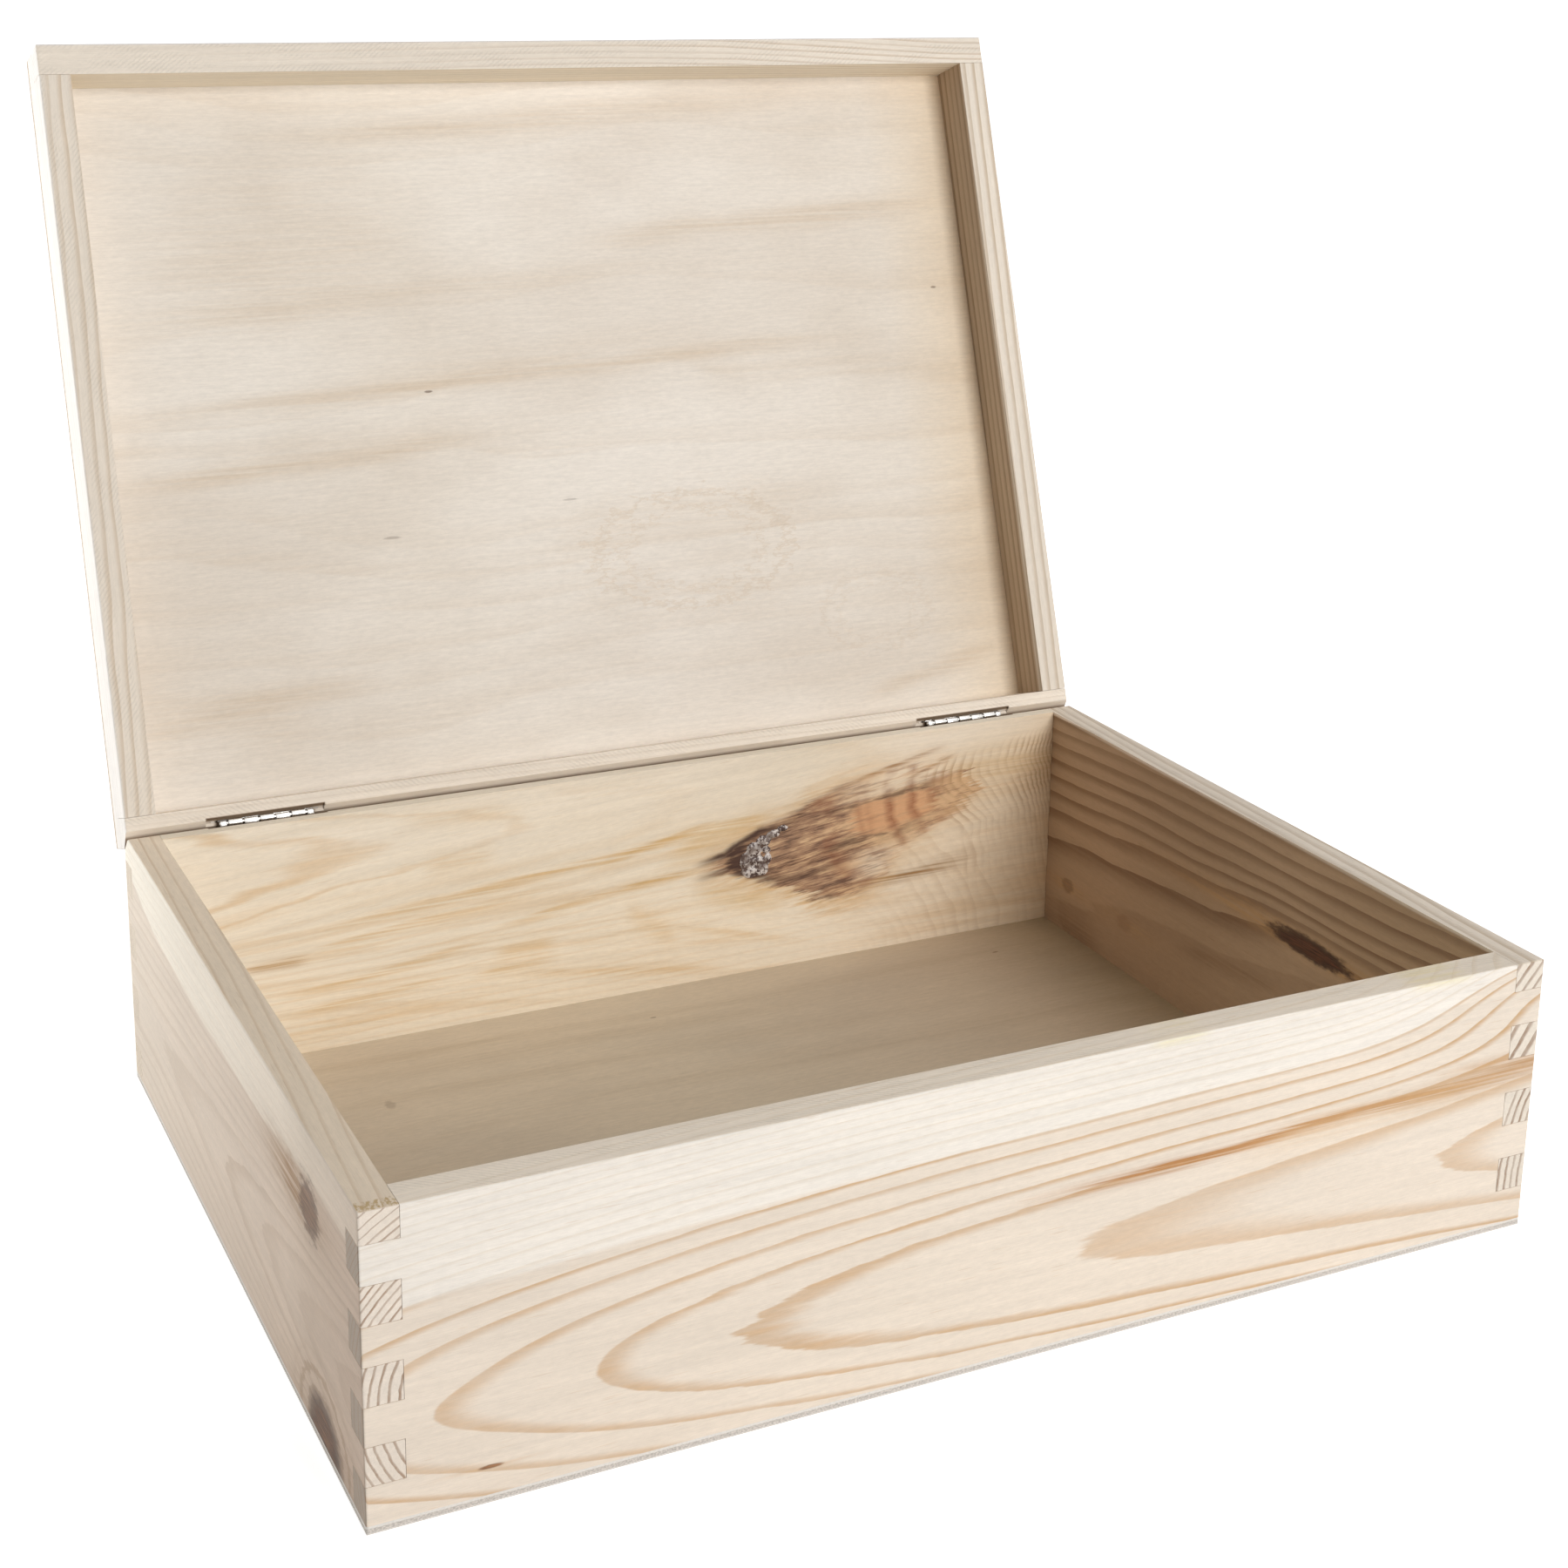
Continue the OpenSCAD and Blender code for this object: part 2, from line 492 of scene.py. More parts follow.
class SpikeGroup(GroupMaker):
    """Makes the group of a branch that the saw cut lengthwise: a spike knot with its tip at the left.

    The curves run along the branch from its tip.
    """

    UPPER: Points = (
        ((0, 1), (8, 1.6), (14, 4.2), (22, 7.2), (30, 8.3), (38, 9.6), (44, 12.4))
        + ((52, 14), (70, 15.3), (85, 15.6), (98, 14), (106, 6), (113, -4))
    )
    LOWER: Points = (
        ((0, -4.5), (8, -6.5), (14, -9.8), (22, -14.2), (30, -18.2), (36, -23), (42, -27.5), (50, -29.8))
        + ((60, -30.6), (68, -28), (74, -22.5), (80, -18), (90, -14), (104, -9.5), (113, -4))
    )
    CREST: Points = ((-6, 0.2), (8, 1.3), (14, 3.6), (22, 5.9), (30, 5.4), (38, 6.4), (48, 6.4))
    KEEL: Points = ((9, -3), (13, -7), (18, -10.4), (24, -13), (32, -15.4), (42, -16.2), (54, -15))
    ARCS: Points = (
        ((41, 0), (46, 0.8), (49, 0.5), (53, 0), (59, 0), (61.4, 0.4), (63.2, 0.1), (65, 0.25))
        + ((67.5, 0), (71, 0), (73.4, 0.75), (74.6, 0.9), (77.2, 0), (80.4, 0), (82.6, 0.6))
        + ((84, 0.85), (86.4, 0), (89, 0), (92.5, 0.85), (96, 0.6), (102, 0))
    )
    SLANT: Points = ((96, 0.8), (112, 0.75), (126, 0.4), (140, 0.14))
    LEVEL: Points = ((88, 0), (93, 1), (104, 1), (112, 0.45), (122, 0.5), (132, 1.1), (145, 1.2))
    YEARS: tuple[float, ...] = (
        (86, 90, 94, 97.5, 101, 105, 109, 113, 117, 121, 124.5)
        + (127.5, 130.2, 132.6, 134.8, 136.8, 138.6, 140.3, 142, 143.6)
    )

    def __init__(self) -> None:
        """Measures each point along the branch and off its middle line."""
        super().__init__("spike_knot", "Place Along Across Tilt", "Body Bark Heart Arc Fibre Stain Ring Run")
        along, across, tilt = self.given
        x, y = self.offset(along, across)
        cosine = tilt.math("COSINE")
        sine = tilt.math("SINE")
        self.run = x * cosine + y * sine
        self.off = y * cosine - x * sine
        self.place = self.graph.join(self.run, self.off, 0)
        self.tuft = self.noise(0.055, 0.7, detail=3, rough=0.65) - 0.5
        self.lobe = self.noise(0.035, 0.16) - 0.5
        self.rag = self.noise(0.11, 0.4, detail=3, rough=0.6) - 0.5
        self.blotch = self.noise(0.07, 0.2, detail=3, rough=0.6)
        self.strand = self.noise(0.05, 0.62, detail=4, rough=0.62)
        self.hair = self.noise(0.14, 1.7, detail=3, rough=0.65)
        self.reach = self.run + self.tuft * self.run.step(5, 65, 7, 26) + self.rag * 8
        height = self.off + self.lobe * 4 + self.tuft * 2 + self.rag * 3
        self.wavy = height + self.lobe * 5 + self.tuft * 2
        self.edge = (self.reach.curve(self.UPPER) - height).least(height - self.reach.curve(self.LOWER))

    def make(self) -> NodeTree:
        """Sets the outputs.

        Returns:
            The group, with masks of the knot's parts, its fibre, and the run along the branch.
        """
        heart = self.heart()
        return self.give(
            Body=self.body(),
            Bark=self.bark().most(self.seams()),
            Heart=heart * self.strand.step(0.3, 0.55, 0.55, 1),
            Arc=self.arc(heart),
            Fibre=self.strand * 0.8 + self.blotch * 0.65 + self.hair * 0.65 - 0.535,
            Stain=self.stain(),
            Ring=self.ring(),
            Run=self.run,
        )

    def body(self) -> Term:
        """Masks the branch's brown body.

        Returns:
            The mask, without the bare strands above and below the heart.
        """
        top = self.off.step(4.5, 7.5) * self.run.step(44, 80, 0, 0.9)
        low = self.off.step(-10, -17) * self.run.step(52, 68, 0, 0.7)
        bare = top.most(low) * self.strand.step(0.36, 0.56, 0.35, 1)
        start = (self.tuft * 22 + self.run).step(-5, 9)
        return self.edge.step(-1.2, 2.4) * start * (1 - bare)

    def bark(self) -> Term:
        """Masks the dark bark round the branch's tip.

        Returns:
            The mask of its crest, keel, lower prong and rim.
        """
        run = self.run
        close = self.off + self.rag * 2.2 + self.tuft * 1.2
        crest = close.bell(run.curve(self.CREST), 1.35) * run.step(-6, 7) * run.step(22, 44, 1, 0)
        keel = close.bell(run.curve(self.KEEL), 1.5) * run.step(8, 13)
        keel = keel * run.step(14, 30, 1, 0.45) * run.step(46, 56, 1, 0)
        prong = close.bell(-5.2, 1.3) * run.step(-7, 3) * run.step(8, 13, 1, 0) * 0.5
        x = (run - 13) / 5
        y = (close + 2.4) / 5.8
        rim = (x * x + y * y + self.tuft * 2.6 + self.rag * 1.6).step(0.3, 1.5, 1, 0)
        return crest.most(keel).most(rim).most(prong)

    def seams(self) -> Term:
        """Masks the dark seams along the heart and a patch below it.

        Returns:
            The mask, broken by blotches.
        """
        run = self.run
        high = self.wavy.bell(4.6, 1.3) * run.step(44, 54) * run.step(88, 96, 1, 0)
        low = self.wavy.bell(-8.8, 1.5) * run.step(41, 50) * run.step(60, 106, 1, 0)
        patch = self.wavy.bell(-16, 1.8) * run.bell(67.5, 4) * 0.8
        return (high + low + patch) * self.blotch.step(0.4, 0.56, 0, 0.7)

    def heart(self) -> Term:
        """Masks the orange heart."""
        box = self.reach.step(57, 63) * self.reach.step(89, 96, 1, 0)
        return box * self.wavy.step(-10, -5.5) * self.wavy.step(1.6, 5.4, 1, 0)

    def arc(self, heart: Term) -> Term:
        """Masks the red lines across the branch.

        Args:
            heart: The heart's mask, where the lines are whole.

        Returns:
            The mask.
        """
        lean = self.off - 2
        bend = self.run + lean * lean * -0.016 + self.lobe * 5 + self.tuft * 2
        worn = self.noise(0.05, 0.13).step(0.4, 0.58, 0, 0.8).most(heart) * self.hair.step(0.25, 0.6, 0.55, 1)
        blush = self.run.bell(50, 3.4) * self.wavy.bell(9, 5) * self.edge.step(0, 2) * 0.55
        return (bend.curve(self.ARCS) * self.edge.step(0, 3) * worn).most(blush)

    def stain(self) -> Term:
        """Masks the yellow stain round the branch's tip."""
        glow = self.edge.bell(-0.8, 5) * self.run.step(-10, 8) * self.run.step(46, 84, 1, 0.25)
        return glow * self.off.step(-6, -13, 0.9, 1.1) * self.tuft.step(-0.25, 0.2, 0.3, 1)

    def ring(self) -> Term:
        """Masks the year lines that bow round the branch's thick end.

        Returns:
            The mask.
        """
        down = (2 - self.off).most(0).least(18)
        up = (self.off - 2).most(0)
        bow = down * self.run.curve(self.SLANT) + up * up * 0.035 + self.lobe * -3
        years = tuple((at, index) for index, at in enumerate(self.YEARS))
        part = (self.run - bow).curve(years).math("FRACT")
        line = part.step(0.3, 0.85) * part.step(0.88, 1, 1, 0) * self.run.curve(self.LEVEL)
        line = line * self.off.step(7, 15, 1, 0) * self.off.step(-22, -10, 0.4, 1) * self.off.step(-46, -30)
        return line * self.noise(0.05, 0.09).step(0.38, 0.6, 0.3, 1)


def held(value: float) -> Points:
    """Returns a curve that stays at one value."""
    return ((0, value), (1, value))


@dataclass(frozen=True)
class Swerve:
    """A place where the rings swerve round something, in millimetres on the board's face."""

    along: float
    across: float
    reach: float
    spread: float
    push: float


@dataclass(frozen=True)
class Knot:
    """A knot through a board, or a speck of bark or resin, in millimetres on the board's face.

    Attributes:
        along: Its middle along the board.
        across: Its middle across the board.
        reach: Half its length.
        spread: Half its height.
        core: Strength of its dark middle.
        bark: Strength of its bark ring.
        stain: Strength of the stain along the grain.
        ripple: Strength of the rings round it.
        flow: How far the stain drifts along the grain.
        ragged: How ragged its outline is.
    """

    along: float
    across: float
    reach: float
    spread: float
    core: float = 0.9
    bark: float = 0.6
    stain: float = 0.5
    ripple: float = 0
    flow: float = 0
    ragged: float = 1.5


@dataclass(frozen=True)
class Streak:
    """A streak of another tone, in millimetres on the face.

    Attributes:
        along: Its middle along the face.
        across: Its middle across the face.
        half: Half its length.
        slope: How it rises along the face.
        width: Its width.
        depth: Its strength.
        tone: Its colour, in linear light.
        soft: From 0 for a sharp upper edge to 1 for soft edges.
    """

    along: float
    across: float
    half: float
    slope: float
    width: float
    depth: float
    tone: Colour = (0.70, 0.47, 0.22)
    soft: float = 0.3


@dataclass(frozen=True)
class Spike:
    """A spike knot with its tip on the board's inner face, and the middle of the rings below it."""

    along: float
    across: float
    tilt: float
    fan_along: float
    fan_across: float


@dataclass(frozen=True)
class Grain:
    """How one board lies in its log, in millimetres along, across and into the board.

    Attributes:
        pith: Where the pith lies across the board.
        depth: Factors of its squared depth under the face, for rising powers of along / 100.
        lines: The radii at which the years end.
        squeeze: Scale of the rings across the board.
        sapwood: The radius at which the sapwood begins, along the board.
        sap_above: How far up across the board it starts to show.
        early: Share of a year before its dark line, by radius.
        fall: Share of a year at which the line breaks off.
        wobble: How far the rings waver.
        tear: How far their edges are torn.
        calm: The pith's depth past which they are hardly torn.
        strength: How dark the lines are, by radius.
        fade: The lines' strength at the board's two ends.
        half: Half the board's length.
        saw: Slant of the saw marks on the rim, or 0.
        rim: The lines' strength on the rim.
        torn: How far from the middle the rim's front end is torn, or 0.
        fan: Slopes of the fibre low and high on the board.
        edge: Where the sapwood along the top edge begins.
        shell: Where the sapwood of the outer face ends, into the board.
        swerves: Where the rings swerve.
        knots: Its knots and specks.
        streaks: Its streaks.
        spike: Its spike knot, if it has one.
        painted_light: Painted light and shade on its faces, as tints along the board.
        bands: Strength of broad bands in the figure.
        hinge: The hinge axis across and into the board, if it is bevelled; shade is painted in the bevels and
            pockets round it.
    """

    pith: float
    depth: tuple[float, float, float, float]
    lines: tuple[float, ...]
    squeeze: float = 1
    sapwood: Points = held(1000)
    sap_above: float = -1000
    early: Points = held(0.6)
    fall: float = 0.96
    wobble: float = 1.2
    tear: float = 0.8
    calm: float = 1000
    strength: Points = held(0.6)
    fade: tuple[float, float] = (1, 1)
    half: float = 175
    saw: float = 0
    rim: float = 1
    torn: float = 0
    fan: tuple[float, float] = (0, 0)
    edge: float = 1000
    shell: float = -1000
    swerves: tuple[Swerve, ...] = ()
    knots: tuple[Knot, ...] = ()
    streaks: tuple[Streak, ...] = ()
    spike: Spike | None = None
    painted_light: LightRamp = ()
    bands: float = 0
    hinge: tuple[float, float] | None = None


@dataclass(frozen=True)
class PineTones:
    """Colours of planed pine, in linear light."""

    heart: Colour = (0.84, 0.72, 0.59)
    sap: Colour = (0.885, 0.82, 0.73)
    late: Colour = (0.60, 0.385, 0.205)
    late_sap: Colour = (0.78, 0.68, 0.55)
    end: Colour = (0.80, 0.715, 0.61)
    end_line: Colour = (0.33, 0.22, 0.15)
    stain: Colour = (0.62, 0.37, 0.16)
    knot: Colour = (0.26, 0.135, 0.07)
    bark: Colour = (0.045, 0.026, 0.018)
    rim: Colour = (1, 1, 1)
    torn: Colour = (0.50, 0.35, 0.17)
    # Painted shade in the bevels and pockets along the hinges.
    groove_shade: Colour = (0.20, 0.12, 0.062)


@dataclass(frozen=True)
class SpikeTones:
    """Colours of the spike knot, in linear light."""

    shadow: Colour = (0.12, 0.054, 0.032)
    brown: Colour = (0.36, 0.20, 0.115)
    tan: Colour = (0.70, 0.47, 0.27)
    heart: Colour = (0.68, 0.365, 0.185)
    red: Colour = (0.26, 0.078, 0.033)
    stain: Colour = (0.68, 0.44, 0.20)
    bark: Colour = (0.062, 0.030, 0.022)
    ring: Colour = (0.40, 0.235, 0.11)


@dataclass(frozen=True)
class PlyTones:
    """Colours of a thin plywood sheet, in linear light."""

    face: Colour
    streak: Colour
    grey: Colour
    # Painted light and shade on the good face, as tints along the sheet.
    painted_light: LightRamp
    core: Colour = (0.46, 0.35, 0.25)
    edge: Colour = (0.72, 0.62, 0.51)
    speck: Colour = (0.13, 0.07, 0.04)


@dataclass(frozen=True)
class NickelTones:
    """Colours of nickel-plated steel, in linear light."""

    bright: Colour = (0.82, 0.81, 0.79)
    worn: Colour = (0.64, 0.62, 0.59)
    # Painted shade on the leaves where they go into the kerf.
    kerf_shade: Colour = (0.12, 0.11, 0.10)


@dataclass(frozen=True)
class ResinTones:
    """Colours of dried resin, in linear light."""

    crust: Colour = (0.70, 0.64, 0.60)
    pit: Colour = (0.07, 0.04, 0.034)
    grime: Colour = (0.11, 0.068, 0.052)


@dataclass(frozen=True)
class GrainFrame:
    """A board's own axes: a corner, and unit vectors along the grain, across the face and into the board."""

    origin: Vector
    along: Vector
    across: Vector
    inward: Vector

    def mapping(self, g: Graph) -> NodeSocket:
        """Turns Object coordinates into the board's own, in millimetres.

        Args:
            g: The material's graph.

        Returns:
            The board's coordinates.
        """
        rows = Matrix((self.along, self.across, self.inward))
        flip = (1, -1 if rows.determinant() < 0 else 1, 1)
        turn = rows @ Matrix.Diagonal(flip)
        node = g.node("ShaderNodeMapping", g.node("ShaderNodeTexCoord").outputs["Object"])
        node.inputs["Location"].default_value = -(rows @ self.origin)
        node.inputs["Rotation"].default_value = turn.to_euler("XYZ")
        node.inputs["Scale"].default_value = Vector(flip) * METRE
        return node.outputs[0]

    def facing(self, g: Graph, axis: Vector) -> Term:
        """Returns how squarely a surface faces along an axis, from the object's own normal."""
        normal = g.node("ShaderNodeTexCoord").outputs["Normal"]
        made = g.node("ShaderNodeVectorMath", normal, axis, operation="DOT_PRODUCT")
        return abs(Term(g, made.outputs["Value"]))


class WoodShop:
    """Builds the shared node groups once, for all the materials."""

    def __init__(self) -> None:
        """Builds the groups."""
        self.log = make_log_group()
        self.ring = make_ring_group()
        self.fibre = make_fibre_group()
        self.swerve = make_swerve_group()
        self.knot = make_knot_group()
        self.saw = make_saw_group()
        self.streak = make_streak_group()
        self.spike = SpikeGroup().make()


class Skin:
    """One material while it is put together."""

    def __init__(self, name: str) -> None:
        """Starts the material.

        Args:
            name: The material's name.
        """
        self.material = bpy.data.materials.new(name)
        self.material.use_nodes = True
        self.shader = self.material.node_tree.nodes["Principled BSDF"]
        self.g = Graph(self.material.node_tree)

    def metric(self) -> NodeSocket:
        """Returns Object coordinates in millimetres."""
        source = self.g.node("ShaderNodeTexCoord").outputs["Object"]
        scale = (METRE, METRE, METRE)
        return self.g.node("ShaderNodeVectorMath", source, scale, operation="MULTIPLY").outputs[0]

    def finish(
        self, colour: NodeSocket, rough: Term, height: Term, relief: float, **levels: float
    ) -> Material:
        """Feeds the shader.

        Args:
            colour: The base colour.
            rough: The roughness.
            height: The height of the relief, in fifths of a millimetre.
            relief: The share of it that shows.
            levels: Other inputs by name, with _ for a space.

        Returns:
            The material.
        """
        self.g.feed(self.shader.inputs["Base Color"], colour)
        self.g.feed(self.shader.inputs["Roughness"], rough)
        for name, level in levels.items():
            self.shader.inputs[name.replace("_", " ")].default_value = level
        bump = self.g.node("ShaderNodeBump")
        bump.inputs["Strength"].default_value = relief
        bump.inputs["Distance"].default_value = RELIEF * MM
        self.g.feed(bump.inputs["Height"], height)
        self.g.feed(self.shader.inputs["Normal"], bump.outputs[0])
        return self.material


class WoodSkin(Skin):
    """The skin of a board or a sheet, with its own axes and fibre."""

    def __init__(self, shop: WoodShop, name: str, where: GrainFrame) -> None:
        """Starts the material and its coordinates.

        Args:
            shop: Has the node groups.
            name: The material's name.
            where: The board's axes.
        """
        super().__init__(name)
        self.shop = shop
        self.where = where
        self.place = where.mapping(self.g)
        self.along, self.across, self.inward = self.g.split(self.place)
        self.flow = self.place
        self.fibre: dict[str, Term] = {}

    def use(self, group: NodeTree, item: object) -> dict[str, Term]:
        """Places a group at the board's coordinates, with an item's fields for its other inputs."""
        return self.g.use(group, item, place=self.place)

    def lay_fibre(self) -> None:
        """Reads the fibre along the grain's flow."""
        self.fibre = self.g.use(self.shop.fibre, place=self.flow)


class PineSkin(WoodSkin):
    """The skin of one pine board."""

    def make(self, grain: Grain, tones: PineTones) -> Material:
        """Lays the streaks, the knots, the tool marks and the painted light and shade over the growth rings.

        Args:
            grain: How the board lies in its log.
            tones: The wood's colours.

        Returns:
            The material.
        """
        g = self.g
        if any(grain.fan):
            slope = self.across.step(14, 50, *grain.fan)
            self.flow = g.join(self.along, self.across - self.along.least(90) * slope, self.inward)
        self.lay_fibre()
        rim = self.where.facing(g, self.where.across).step(0.75, 0.95)
        end = self.where.facing(g, self.where.along).step(0.55, 0.8)
        side = 1 - end
        colour, depth = self.rings(grain, tones, rim, end)
        for streak in grain.streaks:
            mask = self.use(self.shop.streak, streak)["Mask"] * side * streak.depth
            colour = g.mix(mask, colour, streak.tone)
        if grain.spike:
            colour = self.add_spike(grain.spike, colour, SpikeTones())
        for knot in grain.knots:
            colour = self.add_knot(knot, colour, tones)
        fine = self.fibre["Fine"]
        tint = self.fibre["Streak"].step(0.25, 0.75, 0.955, 1.03) * fine.step(0.2, 0.8, 0.955, 1.045)
        tint = tint * self.fibre["Cloud"].step(0.3, 0.7, 0.97, 1.02)
        colour = g.shade(colour, tint * self.fibre["Fuzz"].step(0.25, 0.75, 0.955, 1.04))
        # Painted light and shade: the faces are tinted lighter or darker along the board.
        if grain.painted_light:
            colour = g.mix(side * (1 - rim), colour, self.along.ramp(grain.painted_light), "MULTIPLY")
        colour = g.mix(self.fibre["Duct"] * side * 0.25, colour, tones.late)
        colour = g.mix(rim, colour, tones.rim, "MULTIPLY")
        height = fine * 0.7 + depth
        if grain.saw:
            mark = g.use(self.shop.saw, place=self.place, slant=grain.saw)["Mark"] * rim
            colour = g.shade(colour, mark.step(0, 1, 1.01, 0.92))
            height = mark + height
        if grain.torn:
            tuft = g.noise(self.place, (0.7, 0.5, 1.1), 3, 0.6)
            near = (tuft * 4 - self.along).step(grain.torn, grain.torn + 1.2)
            colour = g.mix(near * rim * tuft.step(0.42, 0.58, 0, 0.9), colour, tones.torn)
            height = near * tuft * 4 + height
        # Painted shade in the depth of the hinge bevels and the pockets round the barrels.
        if grain.hinge:
            colour = g.mix(self.groove_shade(*grain.hinge), colour, tones.groove_shade)
        return self.finish(colour, depth.step(0, 1, 0.66, 0.5), height, 0.22, Specular_IOR_Level=0.3)

    def rings(self, grain: Grain, tones: PineTones, rim: Term, end: Term) -> tuple[NodeSocket, Term]:
        """Colours the growth rings on the faces and on the end grain.

        Args:
            grain: How the board lies in its log.
            tones: The wood's colours.
            rim: 1 on the board's edges.
            end: 1 on its end grain.

        Returns:
            The colour, and how deep in late wood each point is.
        """
        g = self.g
        depths = {f"depth{index}": value for index, value in enumerate(grain.depth)}
        radius = g.use(self.shop.log, grain, place=self.place, **depths)["Radius"]
        for swerve in grain.swerves:
            radius = self.use(self.shop.swerve, swerve)["Bump"] * swerve.push + radius
        number = radius.curve(tuple((at, index) for index, at in enumerate(grain.lines)))
        ring = g.use(self.shop.ring, grain, ring=number, early=radius.curve(grain.early))
        sap = (radius - self.along.curve(grain.sapwood)).step(-0.5, 0.5)
        sap = sap * self.across.step(grain.sap_above, grain.sap_above + 4)
        sap = sap.most(self.across.step(grain.edge - 0.5, grain.edge + 0.5))
        sap = sap.most(self.inward.step(grain.shell - 0.5, grain.shell + 0.5, 1, 0))
        year = ring["Year"].step(0, 1, 0.65, 1) * self.fibre["Streak"].step(0.3, 0.7, 0.75, 1.1)
        fade = self.along.step(-grain.half, grain.half, *grain.fade) * rim.step(0, 1, 1, grain.rim)
        depth = (ring["Late"] * year * fade * radius.curve(grain.strength)).least(1)
        early_wood = g.mix(sap, tones.heart, tones.sap)
        colour = g.mix(depth, early_wood, g.mix(sap, tones.late, tones.late_sap))
        if grain.bands:
            band = g.noise(self.flow, (0.011, 0.15, 0.15), 3, 0.6).step(0.47, 0.66, 0, grain.bands)
            colour = g.mix(band * self.across.step(64, 42, 0.25, 1), colour, tones.late)
        line = ring["Late"].step(0.25, 0.85) * year * 0.92
        return g.mix(end, colour, g.mix(line, tones.end, tones.end_line)), depth

    def groove_shade(self, across: float, inward: float) -> Term:
        """Masks the painted shade in the depth of the bevels along the hinges, and in the pockets round the
        barrels.

        Args:
            across: Where the hinge axis lies across the board.
            inward: Where it lies into the board.

        Returns:
            The mask.
        """
        rise = abs(self.across - across)
        back = self.inward - inward
        gap = rise.hypot(back)
        slope = (self.where.across + self.where.inward).normalized()
        bevel = self.where.facing(self.g, slope).step(0.85, 0.95) * rise.step(1.3, 2.7, 0, 0.8)
        span = abs(abs(self.along) - Hinge.middle)
        slot = abs(back).step(1, 1.6) * span.step(19.9, 19.3)
        return bevel.most(gap.step(2.6, 2.3, 0, 0.9) * slot.most(span.step(17.2, 15.4)))

    def add_knot(self, knot: Knot, colour: NodeSocket, tones: PineTones) -> NodeSocket:
        """Lays a knot over the board's colour.

        Args:
            knot: The knot.
            colour: The wood's colour.
            tones: The wood's colours.

        Returns:
            The colour with the knot in it.
        """
        g = self.g
        made = self.use(self.shop.knot, knot)
        colour = g.mix(made["Stain"] * knot.stain, colour, tones.stain)
        colour = g.mix(made["Ripple"] * knot.ripple, colour, tones.late)
        core = g.mix(self.fibre["Fine"].step(0.35, 0.65), tones.bark, tones.knot)
        colour = g.mix(made["Core"] * knot.core, colour, core)
        return g.mix(made["Bark"] * knot.bark, colour, tones.bark)

    def add_spike(self, spike: Spike, colour: NodeSocket, tones: SpikeTones) -> NodeSocket:
        """Lays the spike knot over the board's inner face.

        Args:
            spike: Where the knot lies.
            colour: The wood's colour.
            tones: The knot's colours.

        Returns:
            The colour with the knot in it.
        """
        g = self.g
        face = self.inward.step(1, 4, 1, 0)
        made = self.use(self.shop.spike, spike)
        x = self.along - spike.fan_along
        drift = g.noise(self.place, (0.03, 0.03, 0.03)) - 0.5
        fan = drift * 15 + x.hypot(self.across - spike.fan_across)
        wave = g.use(self.shop.ring, ring=fan / 4.2, early=0.2, fall=0.85)
        right = x.step(14, 56) * self.across.step(62, 40)
        year = wave["Late"] * wave["Year"].step(0, 1, 0.04, 0.15)
        colour = g.mix(year * right * face, colour, tones.ring)
        colour = g.mix(made["Stain"] * face * 0.75, colour, tones.stain)
        fibre = made["Fibre"] + made["Run"].step(32, 84, -0.06, 0.16)
        wood = g.mix(fibre.step(0.3, 0.5), tones.shadow, tones.brown)
        wood = g.mix(fibre.step(0.46, 0.7), wood, tones.tan)
        wood = g.mix(made["Heart"] * 0.85, wood, tones.heart)
        colour = g.mix(made["Body"] * face * 0.94, colour, wood)
        colour = g.mix(made["Arc"] * face * 0.8, colour, tones.red)
        colour = g.mix(made["Ring"] * face * 0.5, colour, tones.ring)
        return g.mix(made["Bark"] * face * 0.95, colour, tones.bark)


